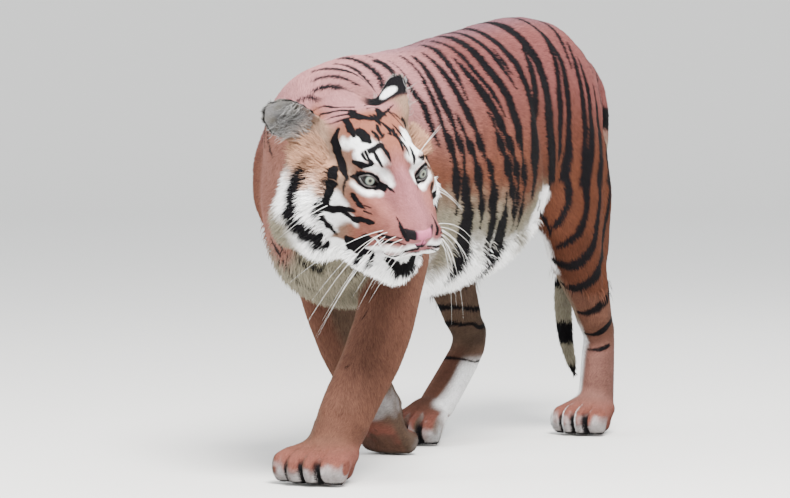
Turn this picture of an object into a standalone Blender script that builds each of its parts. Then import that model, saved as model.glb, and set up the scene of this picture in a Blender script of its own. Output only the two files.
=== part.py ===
"""A life-size walking tiger with its head turned to its left, as a still museum model.

The tiger faces -Y with its left side at +X and stands on the plane z = 0. Its body is modelled whole, from
masses and lofts that a voxel remesh merges, and is then parted into named pieces by thin cuts. Sizes reach
out to the tips of the coat. Units are metres.
"""

import math
from collections import Counter

import bmesh
import bpy
from mathutils import Euler, Matrix, Vector

# ---- driving dimensions -------------------------------------------------------------------------
WITHERS_HEIGHT = 0.725
RUMP_HEIGHT = 0.805
CHEST_HALF_WIDTH = 0.150
EYE_SPACING = 0.090
EYE_RADIUS = 0.0185
FOREPAW_WIDTH = 0.134
HINDPAW_WIDTH = 0.114
CUT = 0.0007  # thickness of the cuts that part the body
GAP = 0.0004  # room between an eye or nose and the head round it
VOXEL = 0.0062
FLESH_TRIANGLES = 4500

# The head looks to the tiger's left and down, and leans a little to its right.
HEAD_ORIGIN = Vector((0.262, -0.659, 0.522))  # midway between the eyes
HEAD_HEADING = math.radians(59.5)
HEAD_PITCH = math.radians(24.0)
HEAD_ROLL = math.radians(7.0)

RING_POINTS = 28
STEPS_PER_STATION = 4
X_AXIS = Vector((1.0, 0.0, 0.0))
WORLD = Matrix.Identity(4)


def head_frame():
    """The head's own frame: origin between the eyes, x to its left, y to its back, z up."""
    turn = Euler((0.0, 0.0, HEAD_HEADING)).to_matrix().to_4x4()
    pitch = Euler((HEAD_PITCH, 0.0, 0.0)).to_matrix().to_4x4()
    roll = Euler((0.0, -HEAD_ROLL, 0.0)).to_matrix().to_4x4()
    return Matrix.Translation(HEAD_ORIGIN) @ turn @ pitch @ roll


HEAD = head_frame()


# ---- modelling tools ----------------------------------------------------------------------------
def curve_through(points, steps):
    """Catmull-Rom points through a list of equal-length tuples, ends included."""
    ends = [points[0], *points, points[-1]]
    out = []
    for before, start, end, after in zip(ends, ends[1:], ends[2:], ends[3:]):
        for step in range(steps):
            t = step / steps
            out.append(
                tuple(
                    0.5 * (2 * b + (c - a) * t + (2 * a - 5 * b + 4 * c - d) * t**2 + (3 * b - a - 3 * c + d) * t**3)
                    for a, b, c, d in zip(before, start, end, after)
                )
            )
    return [*out, tuple(points[-1])]


def add_ball(mesh, centre, radii, frame=WORLD, turn=(0.0, 0.0, 0.0), fineness=3):
    """An ellipsoid. radii run along x, y and z of the frame, turned by Euler degrees."""
    spin = Euler([math.radians(angle) for angle in turn]).to_matrix().to_4x4()
    place = frame @ Matrix.Translation(centre) @ spin @ Matrix.Diagonal((*radii, 1.0))
    bmesh.ops.create_icosphere(mesh, subdivisions=fineness, radius=1.0, matrix=place)


def add_pair(mesh, centre, radii, frame=WORLD, turn=(0.0, 0.0, 0.0)):
    """The same ellipsoid at +x and, mirrored, at -x."""
    x, y, z = centre
    add_ball(mesh, (x, y, z), radii, frame, turn)
    add_ball(mesh, (-x, y, z), radii, frame, (turn[0], -turn[1], -turn[2]))


def add_loft(mesh, stations, frame=WORLD, side=X_AXIS, egg=0.0):
    """A closed body of rings along a smooth path.

    A station is (x, y, z, half width along side, half depth across it). egg narrows the far end of the depth.
    """
    rows = curve_through(stations, STEPS_PER_STATION)
    centres = [Vector(row[:3]) for row in rows]
    rings = []
    for index, (row, centre) in enumerate(zip(rows, centres)):
        ahead = centres[min(index + 1, len(rows) - 1)]
        behind = centres[max(index - 1, 0)]
        along = (ahead - behind).normalized()
        across = (side - along * side.dot(along)).normalized()
        deep = across.cross(along)
        ring = []
        for step in range(RING_POINTS):
            angle = 2 * math.pi * step / RING_POINTS
            width = row[3] * (1.0 - egg * math.sin(angle)) * math.cos(angle)
            offset = across * width + deep * row[4] * math.sin(angle)
            ring.append(mesh.verts.new(frame @ (centre + offset)))
        rings.append(ring)
    for low, high in zip(rings, rings[1:]):
        for step in range(RING_POINTS):
            nxt = (step + 1) % RING_POINTS
            mesh.faces.new((low[step], low[nxt], high[nxt], high[step]))
    mesh.faces.new(rings[0][::-1])
    mesh.faces.new(rings[-1])


def mirrored(stations):
    return [(-row[0], *row[1:]) for row in stations]


def object_of(name, mesh_data, parent=None):
    made = bpy.data.objects.new(name, mesh_data)
    bpy.context.scene.collection.objects.link(made)
    made.parent = parent
    return made


def from_bmesh(name, mesh):
    bmesh.ops.recalc_face_normals(mesh, faces=mesh.faces)
    data = bpy.data.meshes.new(name)
    mesh.to_mesh(data)
    mesh.free()
    return data


def applied(made):
    """The object's mesh with its modifiers applied, in a fresh object of the same name."""
    bpy.context.view_layer.update()
    graph = bpy.context.evaluated_depsgraph_get()
    data = bpy.data.meshes.new_from_object(made.evaluated_get(graph))
    name = made.name
    bpy.data.objects.remove(made)
    return object_of(name, data)


# ---- the masses of the body ---------------------------------------------------------------------
def trunk(mesh):
    top, rump, half = WITHERS_HEIGHT, RUMP_HEIGHT, CHEST_HALF_WIDTH
    profile = [  # y, top, bottom, half width
        (-0.540, top - 0.135, 0.430, 0.040),
        (-0.510, top - 0.080, 0.368, 0.076),
        (-0.440, top - 0.022, 0.304, half - 0.036),
        (-0.330, top, 0.285, half - 0.012),
        (-0.180, top + 0.010, 0.290, half - 0.004),
        (-0.030, rump - 0.052, 0.300, half + 0.004),
        (0.090, rump - 0.031, 0.322, half),
        (0.190, rump - 0.014, 0.366, half - 0.014),
        (0.280, rump - 0.003, 0.418, half - 0.028),
        (0.350, rump, 0.446, half - 0.034),
        (0.430, rump - 0.010, 0.462, half - 0.040),
        (0.510, rump - 0.042, 0.492, half - 0.056),
        (0.575, rump - 0.095, 0.545, half - 0.084),
        (0.605, rump - 0.145, 0.600, 0.026),
    ]
    stations = [(0.0, y, (high + low) / 2, wide, (high - low) / 2) for y, high, low, wide in profile]
    add_loft(mesh, stations, egg=0.10)


def shoulder(mesh, side, point, elbow):
    """Shoulder blade, upper arm and triceps of one side, from the point of the shoulder and the elbow."""
    top = (side * 0.050, -0.290, WITHERS_HEIGHT - 0.050)
    middle = (side * 0.092, (top[1] + point[1]) / 2, 0.595)
    add_ball(mesh, top, (0.034, 0.060, 0.036), turn=(-20, 0, 0))
    add_loft(
        mesh,
        [(*top, 0.030, 0.055), (*middle, 0.044, 0.084), (*point, 0.050, 0.082), (*elbow, 0.044, 0.050)],
    )
    add_ball(mesh, elbow, (0.050, 0.060, 0.060))
    add_ball(mesh, (side * 0.110, elbow[1] - 0.002, elbow[2] + 0.090), (0.054, 0.082, 0.115), turn=(-14, 0, 0))


def foreleg(mesh, elbow, middle, wrist, end):
    """Forearm from the elbow to the paw: heavy and nearly even down to the wrist."""
    add_loft(
        mesh,
        [
            (*elbow, 0.054, 0.064),
            (*middle, 0.0520, 0.058),
            (*wrist, 0.0490, 0.0500),
            (*end, 0.0470, 0.0420),
        ],
    )


def hind_leg(mesh, side, knee, shank, hock, foot):
    """Thigh, shank and metatarsus of one side, on the hip of the trunk."""
    hip = (side * 0.068, 0.360, 0.645)
    thigh = tuple((a + b) / 2 for a, b in zip(hip, knee))
    add_loft(
        mesh,
        [
            (*hip, 0.040, 0.095),
            (thigh[0] + side * 0.004, thigh[1] + 0.026, thigh[2], 0.055, 0.112),
            (knee[0], knee[1] + 0.026, knee[2], 0.052, 0.088),
            (*shank, 0.042, 0.058),
            (*hock, 0.031, 0.040),
        ],
    )
    add_ball(mesh, hip, (0.044, 0.096, 0.070))
    add_ball(mesh, (side * 0.050, 0.470, 0.600), (0.050, 0.078, 0.110), turn=(18, 0, 0))
    add_ball(mesh, (side * 0.093, knee[1] + 0.100, 0.465), (0.051, 0.080, 0.120), turn=(10, 0, 0))
    calf = (shank[0] * 0.98, shank[1] + 0.018, shank[2] + 0.040)
    between = (side * 0.080, (0.470 + calf[1]) / 2, (0.560 + calf[2]) / 2)
    add_loft(mesh, [(side * 0.066, 0.468, 0.570, 0.046, 0.070), (*between, 0.046, 0.074), (*calf, 0.036, 0.050)])
    heel = (hock[0], hock[1] + 0.022, hock[2] + 0.012)
    add_loft(
        mesh,
        [
            (*heel, 0.027, 0.028),
            (hock[0], hock[1] + 0.008, hock[2] - 0.035, 0.033, 0.034),
            (*foot, 0.037, 0.034),
        ],
    )


def paw(mesh, place, width, length, splay=1.0):
    """A paw in its own frame: toes to -y, sole near z = 0. The soles are levelled later, by one cut."""
    toe = width * 0.150
    add_ball(mesh, (0.0, 0.012, 0.047), (width * 0.36, length * 0.28, 0.042), place)
    add_ball(mesh, (0.0, -0.006, 0.044), (width * 0.41, length * 0.27, 0.036), place, (8, 0, 0))
    add_ball(mesh, (0.0, 0.016, 0.014), (width * 0.29, 0.036, 0.019), place)
    for lane in (-1.5, -0.5, 0.5, 1.5):
        x = lane * width * 0.238 * splay
        back = 0.014 * (abs(lane) - 0.5)
        add_loft(
            mesh,
            [
                (x * 0.72, 0.004 + back, 0.050, toe, toe),
                (x * 0.95, -length * 0.24 + back, 0.045, toe * 1.04, toe * 1.12),
                (x * 1.05, -length * 0.40 + back, 0.032, toe * 1.08, toe * 1.22),
                (x * 1.07, -length * 0.49 + back, 0.021, toe * 0.84, toe * 0.96),
                (x * 1.07, -length * 0.53 + back, 0.016, toe * 0.42, toe * 0.50),
            ],
            place,
        )
        add_ball(mesh, (x * 1.05, -length * 0.40 + back, 0.010), (toe * 0.84, toe * 1.05, 0.014), place)


def paw_place(x, y, z=0.0, heading=0.0, pitch=0.0, roll=0.0):
    angles = (math.radians(pitch), math.radians(roll), math.radians(heading))
    return Matrix.Translation((x, y, z)) @ Euler(angles).to_matrix().to_4x4()


def legs(mesh):
    shoulder(mesh, 1, point=(0.110, -0.430, 0.490), elbow=(0.118, -0.372, 0.400))
    foreleg(mesh, (0.124, -0.372, 0.395), (0.118, -0.436, 0.245), (0.100, -0.522, 0.118), (0.088, -0.552, 0.062))
    paw(mesh, paw_place(0.086, -0.566, heading=-4), FOREPAW_WIDTH, 0.165, splay=1.06)

    shoulder(mesh, -1, point=(-0.102, -0.385, 0.490), elbow=(-0.108, -0.262, 0.390))
    foreleg(mesh, (-0.108, -0.258, 0.385), (-0.102, -0.190, 0.250), (-0.086, -0.128, 0.138), (-0.068, -0.092, 0.082))
    paw(mesh, paw_place(-0.062, -0.048, 0.078, heading=-8, pitch=104), FOREPAW_WIDTH * 0.86, 0.160, splay=0.9)

    hind_leg(mesh, 1, knee=(0.102, 0.325, 0.405), shank=(0.092, 0.440, 0.292), hock=(0.084, 0.506, 0.205),
             foot=(0.079, 0.512, 0.058))
    paw(mesh, paw_place(0.078, 0.492, heading=-3), HINDPAW_WIDTH, 0.150)

    hind_leg(mesh, -1, knee=(-0.112, 0.225, 0.405), shank=(-0.116, 0.290, 0.290), hock=(-0.110, 0.338, 0.205),
             foot=(-0.110, 0.205, 0.062))
    paw(mesh, paw_place(-0.110, 0.158, heading=2), HINDPAW_WIDTH, 0.150)


TAIL = [  # centre and half thickness, from the rump to the tip
    (0.000, 0.560, 0.690, 0.050),
    (0.000, 0.625, 0.668, 0.040),
    (-0.006, 0.690, 0.600, 0.031),
    (-0.018, 0.705, 0.500, 0.026),
    (-0.030, 0.655, 0.390, 0.0235),
    (-0.030, 0.596, 0.285, 0.0225),
    (-0.020, 0.580, 0.190, 0.0205),
    (-0.010, 0.592, 0.125, 0.0160),
    (-0.006, 0.602, 0.096, 0.0080),
]


def tail(mesh):
    add_loft(mesh, [(x, y, z, thick, thick) for x, y, z, thick in TAIL])


def neck(mesh):
    """From the chest to the back of the skull, bending to the left, with the loose skin of the throat."""
    nape = HEAD @ Vector((0.0, 0.182, -0.034))
    throat = HEAD @ Vector((0.0, 0.120, -0.085))
    middle = Vector((0.060, -0.512, 0.574))
    add_loft(
        mesh,
        [
            (0.0, -0.330, 0.590, 0.112, 0.130),
            (0.012, -0.430, 0.572, 0.112, 0.136),
            (*middle, 0.108, 0.128),
            (*nape, 0.086, 0.090),
            (*(HEAD @ Vector((0.0, 0.105, -0.034))), 0.072, 0.074),
        ],
        side=Vector((1.0, 0.25, 0.0)),
    )
    add_loft(
        mesh,
        [
            (0.015, -0.440, 0.410, 0.095, 0.100),
            (0.060, -0.520, 0.430, 0.092, 0.092),
            (*throat, 0.078, 0.066),
        ],
        side=Vector((1.0, 0.35, 0.0)),
    )


# ---- the head, in its own frame -----------------------------------------------------------------
def skull(mesh):
    add_ball(mesh, (0.0, 0.098, 0.010), (0.074, 0.104, 0.062), HEAD)
    add_ball(mesh, (0.0, 0.036, 0.010), (0.058, 0.056, 0.046), HEAD)
    add_pair(mesh, (0.043, 0.016, 0.020), (0.022, 0.028, 0.018), HEAD, (0, 20, -15))
    add_pair(mesh, (0.060, 0.040, -0.028), (0.031, 0.052, 0.036), HEAD, (0, 0, 14))
    bridge = [  # x, y, z, half width, half depth
        (0.0, 0.040, -0.006, 0.044, 0.044),
        (0.0, -0.012, -0.016, 0.035, 0.040),
        (0.0, -0.050, -0.033, 0.031, 0.038),
        (0.0, -0.086, -0.048, 0.029, 0.034),
        (0.0, -0.108, -0.055, 0.026, 0.028),
        (0.0, -0.121, -0.058, 0.021, 0.020),
    ]
    add_loft(mesh, bridge, HEAD, egg=-0.06)


def muzzle(mesh):
    add_ball(mesh, (0.0, -0.045, -0.070), (0.050, 0.062, 0.036), HEAD)
    add_pair(mesh, (0.029, -0.084, -0.078), (0.030, 0.036, 0.027), HEAD, (0, 0, 20))
    add_pair(mesh, (0.022, -0.062, -0.056), (0.028, 0.046, 0.030), HEAD, (0, 0, 8))
    add_pair(mesh, (0.036, -0.026, -0.058), (0.030, 0.050, 0.040), HEAD, (0, 0, 18))
    add_pair(mesh, (0.044, 0.008, -0.052), (0.030, 0.050, 0.042), HEAD, (0, 0, 24))
    add_pair(mesh, (0.038, 0.020, -0.094), (0.034, 0.050, 0.036), HEAD, (0, 0, 20))
    add_ball(mesh, (0.0, -0.108, -0.078), (0.015, 0.014, 0.020), HEAD)


def lower_jaw(mesh):
    add_ball(mesh, (0.0, -0.046, -0.134), (0.031, 0.032, 0.027), HEAD)
    add_ball(mesh, (0.0, -0.038, -0.153), (0.027, 0.030, 0.026), HEAD)
    for side in (1, -1):
        add_loft(
            mesh,
            [
                (side * 0.016, -0.046, -0.138, 0.022, 0.026),
                (side * 0.038, -0.006, -0.132, 0.026, 0.032),
                (side * 0.052, 0.045, -0.108, 0.032, 0.046),
                (side * 0.058, 0.085, -0.070, 0.030, 0.052),
            ],
            HEAD,
        )
    add_ball(mesh, (0.0, 0.030, -0.120), (0.050, 0.078, 0.044), HEAD)


def cheeks(mesh):
    """The cheek muscles and the ruff of long fur behind them."""
    add_pair(mesh, (0.070, 0.066, -0.060), (0.037, 0.060, 0.066), HEAD, (0, -6, 20))
    add_pair(mesh, (0.092, 0.118, -0.040), (0.038, 0.042, 0.066), HEAD, (0, -16, 30))
    add_pair(mesh, (0.094, 0.100, -0.082), (0.042, 0.050, 0.074), HEAD, (0, -16, 30))
    add_pair(mesh, (0.108, 0.118, -0.112), (0.042, 0.040, 0.058), HEAD, (0, -10, 30))
    add_pair(mesh, (0.072, 0.080, -0.128), (0.048, 0.056, 0.048), HEAD, (0, 0, 25))


def ear(mesh, base, tip, facing, width, depth):
    """A round cupped ear from its base to its tip, hollow towards facing, all in the head's frame."""
    base, tip = Vector(base), Vector(tip)
    along = tip - base
    height = along.length
    along.normalize()
    facing = Vector(facing)
    facing = (facing - along * facing.dot(along)).normalized()
    across = facing.cross(along)
    rows, columns, thick = 9, 12, 0.0115
    front, back = [], []
    for row in range(rows + 1):
        rise = row / rows
        outline = math.sqrt(max(0.0, 1.0 - (max(0.0, rise - 0.42) / 0.60) ** 2))
        spread = width / 2 * outline * (0.80 + 0.20 * min(1.0, rise / 0.4))
        for column in range(columns + 1):
            share = 2 * column / columns - 1
            cup = depth * (share**2 - 1.0) * (1.0 - 0.55 * rise)
            lean = 0.010 * rise**2
            point = base + along * height * rise + across * spread * share + facing * (cup + lean)
            front.append(mesh.verts.new(HEAD @ (point + facing * thick / 2)))
            back.append(mesh.verts.new(HEAD @ (point - facing * thick / 2)))
    wide = columns + 1
    for row in range(rows):
        for column in range(columns):
            a, b = row * wide + column, row * wide + column + 1
            c, d = b + wide, a + wide
            mesh.faces.new((front[a], front[b], front[c], front[d]))
            mesh.faces.new((back[d], back[c], back[b], back[a]))
    edge = [column for column in range(wide)]
    edge += [row * wide + columns for row in range(1, rows + 1)]
    edge += [rows * wide + column for column in range(columns - 1, -1, -1)]
    edge += [row * wide for row in range(rows - 1, 0, -1)]
    for index, here in enumerate(edge):
        there = edge[(index + 1) % len(edge)]
        mesh.faces.new((front[there], front[here], back[here], back[there]))
    root = base - along * 0.006 - facing * depth * 0.5
    add_ball(mesh, root, (width * 0.33, width * 0.30, 0.026), HEAD)


EAR_RIGHT = {"base": (-0.090, 0.126, 0.022), "tip": (-0.187, 0.128, 0.098), "facing": (-0.25, -0.93, -0.10)}
EAR_LEFT = {"base": (0.074, 0.124, 0.042), "tip": (0.100, 0.212, 0.080), "facing": (0.78, 0.20, -0.50)}


def ears(mesh):
    ear(mesh, **EAR_RIGHT, width=0.098, depth=0.028)
    ear(mesh, **EAR_LEFT, width=0.084, depth=0.022)


def flesh():
    """The whole tiger without eyes, nose and claws, as one closed mesh of few triangles."""
    mesh = bmesh.new()
    trunk(mesh)
    neck(mesh)
    legs(mesh)
    tail(mesh)
    skull(mesh)
    muzzle(mesh)
    lower_jaw(mesh)
    cheeks(mesh)
    ears(mesh)
    body = object_of("flesh", from_bmesh("flesh", mesh))
    remesh = body.modifiers.new("merge", "REMESH")
    remesh.mode = "VOXEL"
    remesh.voxel_size = VOXEL
    body = applied(body)
    even_out(body)
    fewer(body)
    return applied(body)


def closeness(point, centre, near, far):
    """1 within near of the centre, falling to 0 at far."""
    return max(0.0, min(1.0, (far - (point - centre).length) / (far - near)))


def even_out(body):
    """Smooths the creases between masses: freely on the trunk, less on the legs, least on the face and feet."""
    face = HEAD @ Vector((0.0, -0.010, -0.050))
    group = body.vertex_groups.new(name="smooth")
    for vertex in body.data.vertices:
        low = max(0.0, min(1.0, (0.40 - vertex.co.z) / 0.08))
        feet = max(0.0, min(1.0, (0.13 - vertex.co.z) / 0.05))
        back = max(0.0, min(1.0, (vertex.co.y - 0.60) / 0.04))
        fine = max(0.75 * low, 0.90 * feet, 0.80 * back, 0.86 * closeness(vertex.co, face, 0.12, 0.22))
        group.add([vertex.index], 1.0 - fine, "REPLACE")
    smooth = body.modifiers.new("even", "SMOOTH")
    smooth.factor = 0.5
    smooth.iterations = 60
    smooth.vertex_group = group.name


def fewer(body):
    """Cuts the triangle count, keeping more of them on the face and feet."""
    face = HEAD @ Vector((0.0, 0.0, -0.050))
    group = body.vertex_groups.new(name="fine")
    for vertex in body.data.vertices:
        fine = max(
            closeness(vertex.co, face, 0.12, 0.30),
            0.55 * max(0.0, min(1.0, (0.10 - vertex.co.z) / 0.04)),
        )
        group.add([vertex.index], 0.9 * fine, "REPLACE")
    triangles = sum(len(polygon.vertices) - 2 for polygon in body.data.polygons)
    decimate = body.modifiers.new("fewer", "DECIMATE")
    decimate.ratio = FLESH_TRIANGLES / triangles
    decimate.vertex_group = group.name
    decimate.vertex_group_factor = 1e-3
    decimate.invert_vertex_group = True
    decimate.use_collapse_triangulate = True


# ---- parting the body ---------------------------------------------------------------------------
def add_slab(mesh, centre, normal, half_a, half_b, hint=X_AXIS, frame=WORLD, thick=CUT):
    """A thin plate across the body: half_a along the hint, half_b across it."""
    normal = Vector(normal).normalized()
    a = (hint - normal * hint.dot(normal)).normalized()
    b = normal.cross(a)
    turn = Matrix((a, b, normal)).transposed().to_4x4()
    place = frame @ Matrix.Translation(centre) @ turn @ Matrix.Diagonal((2 * half_a, 2 * half_b, thick, 1.0))
    bmesh.ops.create_cube(mesh, size=1.0, matrix=place)


BODY_CUTS = {  # name: centre, normal, half size along the hint, half size across it, hint
    "neck_from_chest": ((0.020, -0.470, 0.520), (-0.30, 1.0, 0.02), 0.30, 0.30, X_AXIS),
    "chest_from_belly": ((0.0, -0.085, 0.560), (0.0, 1.0, 0.0), 0.26, 0.31, X_AXIS),
    "tail_root": ((0.0, 0.642, 0.665), (0.0, 1.0, -0.45), 0.09, 0.09, X_AXIS),
    "tail_upper": ((-0.018, 0.703, 0.500), (0.0, 0.12, 1.0), 0.05, 0.06, X_AXIS),
    "tail_lower": ((-0.031, 0.612, 0.312), (0.0, 0.5, 1.0), 0.045, 0.045, X_AXIS),
    "left_hock": ((0.086, 0.487, 0.235), (0.0, -0.60, 0.80), 0.085, 0.085, X_AXIS),
    "right_hock": ((-0.113, 0.322, 0.235), (0.0, -0.49, 0.87), 0.085, 0.085, X_AXIS),
}

WRIST_CUTS = {
    "left": ((0.096, -0.532, 0.100), (0.0, 0.40, 0.92), 0.085, 0.085, X_AXIS),
    "right": ((-0.080, -0.112, 0.115), (-0.20, -0.50, 0.80), 0.085, 0.085, X_AXIS),
}

HEAD_BLOCK = {  # y and z, in the head's frame, at both ends of the block that parts the head from the neck
    "left": [(-0.400, 0.300), (0.423, 0.300), (0.151, -0.021), (0.060, -0.305), (-0.400, -0.305)],
    "right": [(-0.400, 0.300), (0.423, 0.300), (0.151, -0.021), (0.093, -0.305), (-0.400, -0.305)],
}
JAW_BACK = ((0.0, 0.028, -0.160), (0.0, 1.0, 0.10), 0.125, 0.048, X_AXIS, HEAD)

FORELEGS = {  # the block round each foreleg: inner and outer edge of its top as x and z, y of the top,
    "left": ((0.035, 0.276), (0.179, 0.4256), (-0.478, -0.322), -0.020, (-0.740, -0.450)),  # x inside, y at the floor
    "right": ((-0.020, 0.251), (-0.215, 0.454), (-0.345, -0.165), 0.020, (-0.220, 0.080)),
}

THIGHS = {  # the round cut that frees a thigh: centre and radii
    "left": ((0.156, 0.395, 0.485), (0.145, 0.202, 0.218)),
    "right": ((-0.162, 0.330, 0.485), (0.152, 0.228, 0.218)),
}


EYE = Vector((0.5 * EYE_SPACING, 0.006, -0.002))  # the left eye, in the head's frame
NOSE_CENTRE, NOSE_RADII, NOSE_TURN = (0.0, -0.1165, -0.0530), (0.0225, 0.0125, 0.0180), (18.0, 0.0, 0.0)
MOUTH_FRONT, MOUTH_CORNER, MOUTH_OPENING = (-0.150, -0.099), (0.036, -0.126), 0.007  # y and z, then the gape


def add_mouth(mesh):
    """A wedge between the lips, widest in front, that closes at the corners of the mouth."""
    (front_y, front_z), (corner_y, corner_z) = MOUTH_FRONT, MOUTH_CORNER
    rows = [
        (front_y, front_z + MOUTH_OPENING / 2), (corner_y, corner_z + CUT / 2),
        (corner_y, corner_z - CUT / 2), (front_y, front_z - MOUTH_OPENING / 2),
    ]
    add_prism(mesh, rows, rows, 0.125)


def add_eye(mesh, side, room=0.0):
    add_ball(mesh, (side * EYE.x, EYE.y, EYE.z), (EYE_RADIUS + room,) * 3, HEAD, fineness=2)


def add_nose(mesh, room=0.0):
    add_ball(mesh, NOSE_CENTRE, [radius + room for radius in NOSE_RADII], HEAD, NOSE_TURN, fineness=2)


def add_floor(mesh):
    """Everything below z = 0, so that all four feet stand on small flats at one level."""
    bmesh.ops.create_cube(mesh, size=1.0, matrix=Matrix.Translation((0, 0, -0.05)) @ Matrix.Diagonal((1, 2, 0.1, 1)))


def cut_away(body, add_shapes, operation="DIFFERENCE"):
    mesh = bmesh.new()
    add_shapes(mesh)
    cutter = object_of("cutter", from_bmesh("cutter", mesh))
    boolean = body.modifiers.new("cut", "BOOLEAN")
    boolean.operation = operation
    boolean.solver = "EXACT"
    boolean.use_self = True
    boolean.object = cutter
    body = applied(body)
    bpy.data.objects.remove(cutter)
    return body


def part_off(body, add_shape):
    """Parts what is inside a shape from what is outside it. add_shape takes a mesh and the room to leave."""
    twin = object_of("inside", body.data.copy())
    inside = cut_away(twin, lambda mesh: add_shape(mesh, 0.0), "INTERSECT")
    outside = cut_away(body, lambda mesh: add_shape(mesh, CUT))
    return inside, outside


def joined(bodies):
    both = bmesh.new()
    for body in bodies:
        both.from_mesh(body.data)
        bpy.data.objects.remove(body)
    return object_of("flesh", from_bmesh("flesh", both))


def add_prism(mesh, left_outline, right_outline, half_width, room=0.0):
    """A block in the head's frame with the given outlines in y and z, grown by the room at its back."""
    left = [mesh.verts.new(HEAD @ Vector((half_width, y + room, z))) for y, z in left_outline]
    right = [mesh.verts.new(HEAD @ Vector((-half_width, y + room, z))) for y, z in right_outline]
    close_round(mesh, left, right)


def close_round(mesh, one_end, other_end):
    mesh.faces.new(one_end)
    mesh.faces.new(other_end[::-1])
    for index in range(len(one_end)):
        after = (index + 1) % len(one_end)
        mesh.faces.new((one_end[index], other_end[index], other_end[after]))
        mesh.faces.new((one_end[index], other_end[after], one_end[after]))
    bmesh.ops.recalc_face_normals(mesh, faces=mesh.faces)


def add_leg_block(mesh, inner, outer, top, inside, floor, room):
    """A block round a foreleg, slanted on top from the armpit up to the outside of the shoulder."""
    outward = 1.0 if outer[0] > inner[0] else -1.0
    near, far, foot = inner[0] - outward * room, outer[0] + outward * room, inside - outward * room
    front, back = (top[0] - room, floor[0] - room), (top[1] + room, floor[1] + room)
    upper = [(near, front[0], inner[1]), (far, front[0], outer[1]), (far, back[0], outer[1]), (near, back[0], inner[1])]
    lower = [(foot, front[1]), (far, front[1]), (far, back[1]), (foot, back[1])]
    high = [mesh.verts.new((x, y, z + 1.5 * room)) for x, y, z in upper]
    low = [mesh.verts.new((x, y, -0.05)) for x, y in lower]
    close_round(mesh, high, low)


def add_ear_block(mesh, ear_of, width, room):
    """A block round an ear, from just above its root."""
    base, tip = Vector(ear_of["base"]), Vector(ear_of["tip"])
    along = (tip - base).normalized()
    facing = Vector(ear_of["facing"])
    facing = (facing - along * facing.dot(along)).normalized()
    centre = base + along * 0.084 + facing * 0.004
    turn = Matrix((facing.cross(along), facing, along)).transposed().to_4x4()
    sizes = (width + 2 * room, 0.066 + 2 * room, 0.124 + 2 * room, 1.0)
    bmesh.ops.create_cube(mesh, size=1.0, matrix=HEAD @ Matrix.Translation(centre) @ turn @ Matrix.Diagonal(sizes))


def add_head_openings(mesh):
    for side in (1, -1):
        add_eye(mesh, side, GAP)
    add_nose(mesh, GAP)


PIECES = {  # name: a point inside it
    "chest": (0.0, -0.280, 0.560),
    "abdomen": (0.0, 0.220, 0.600),
    "neck": (0.055, -0.530, 0.540),
    "tail_1": (0.000, 0.670, 0.640),
    "tail_2": (-0.028, 0.660, 0.400),
    "tail_3": (-0.018, 0.585, 0.190),
    "foreleg_left": (0.118, -0.440, 0.245),
    "foreleg_right": (-0.102, -0.190, 0.250),
    "forepaw_left": (0.082, -0.570, 0.040),
    "forepaw_right": (-0.062, -0.070, 0.050),
    "thigh_left": (0.100, 0.390, 0.480),
    "thigh_right": (-0.105, 0.330, 0.480),
    "shank_left": (0.090, 0.450, 0.290),
    "shank_right": (-0.114, 0.300, 0.290),
    "hindpaw_left": (0.080, 0.500, 0.110),
    "hindpaw_right": (-0.110, 0.240, 0.110),
}
HEAD_PIECES = {
    "head": (0.0, 0.080, -0.020),
    "lower_jaw": (0.0, -0.040, -0.150),
    "ear_right": (-0.140, 0.127, 0.065),
    "ear_left": (0.092, 0.185, 0.060),
}


def connected(mesh):
    """The faces of each separate body in a mesh, always in the same order."""
    mesh.faces.index_update()
    seen = [False] * len(mesh.faces)
    for first in list(mesh.faces):
        if seen[first.index]:
            continue
        seen[first.index] = True
        group = [first]
        for face in group:  # the list grows as it is read
            for edge in face.edges:
                for near in edge.link_faces:
                    if not seen[near.index]:
                        seen[near.index] = True
                        group.append(near)
        yield sorted(group, key=lambda face: face.index)


def middle_of(points):
    low = Vector([min(point[axis] for point in points) for axis in range(3)])
    high = Vector([max(point[axis] for point in points) for axis in range(3)])
    return (low + high) / 2, (high - low).length


def part_body(body):
    """Makes one object of each separate body and names it after the nearest point of PIECES."""
    anchors = {name: Vector(point) for name, point in PIECES.items()}
    anchors.update({name: HEAD @ Vector(point) for name, point in HEAD_PIECES.items()})
    whole = bmesh.new()
    whole.from_mesh(body.data)
    made = []
    for faces in connected(whole):
        points = {vertex: vertex.co for face in faces for vertex in face.verts}
        centre, size = middle_of(list(points.values()))
        name = min(anchors, key=lambda label: (anchors[label] - centre).length)
        if size < 0.02:
            continue
        piece = bmesh.new()
        copies = {vertex: piece.verts.new(point) for vertex, point in points.items()}
        corners = Counter(frozenset(face.verts) for face in faces)
        for face in faces:
            if corners[frozenset(face.verts)] == 1:  # two faces on the same corners are a flap of no thickness
                piece.faces.new([copies[vertex] for vertex in face.verts])
        bmesh.ops.triangulate(piece, faces=piece.faces)
        data = bpy.data.meshes.new(name)
        piece.to_mesh(data)
        piece.free()
        made.append(object_of(name, data))
    whole.free()
    bpy.data.objects.remove(body)
    return made


COLOURS = {  # of the plain material each piece carries, as linear red, green, blue
    "eye": (0.30, 0.34, 0.18),
    "nose": (0.42, 0.16, 0.16),
    "coat": (0.55, 0.22, 0.07),
}


def material_of(kind):
    made = bpy.data.materials.get(kind) or bpy.data.materials.new(kind)
    made.use_nodes = True
    shader = made.node_tree.nodes["Principled BSDF"]
    shader.inputs["Base Color"].default_value = (*COLOURS[kind], 1.0)
    shader.inputs["Roughness"].default_value = 0.2 if kind == "eye" else 0.75
    return made


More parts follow.
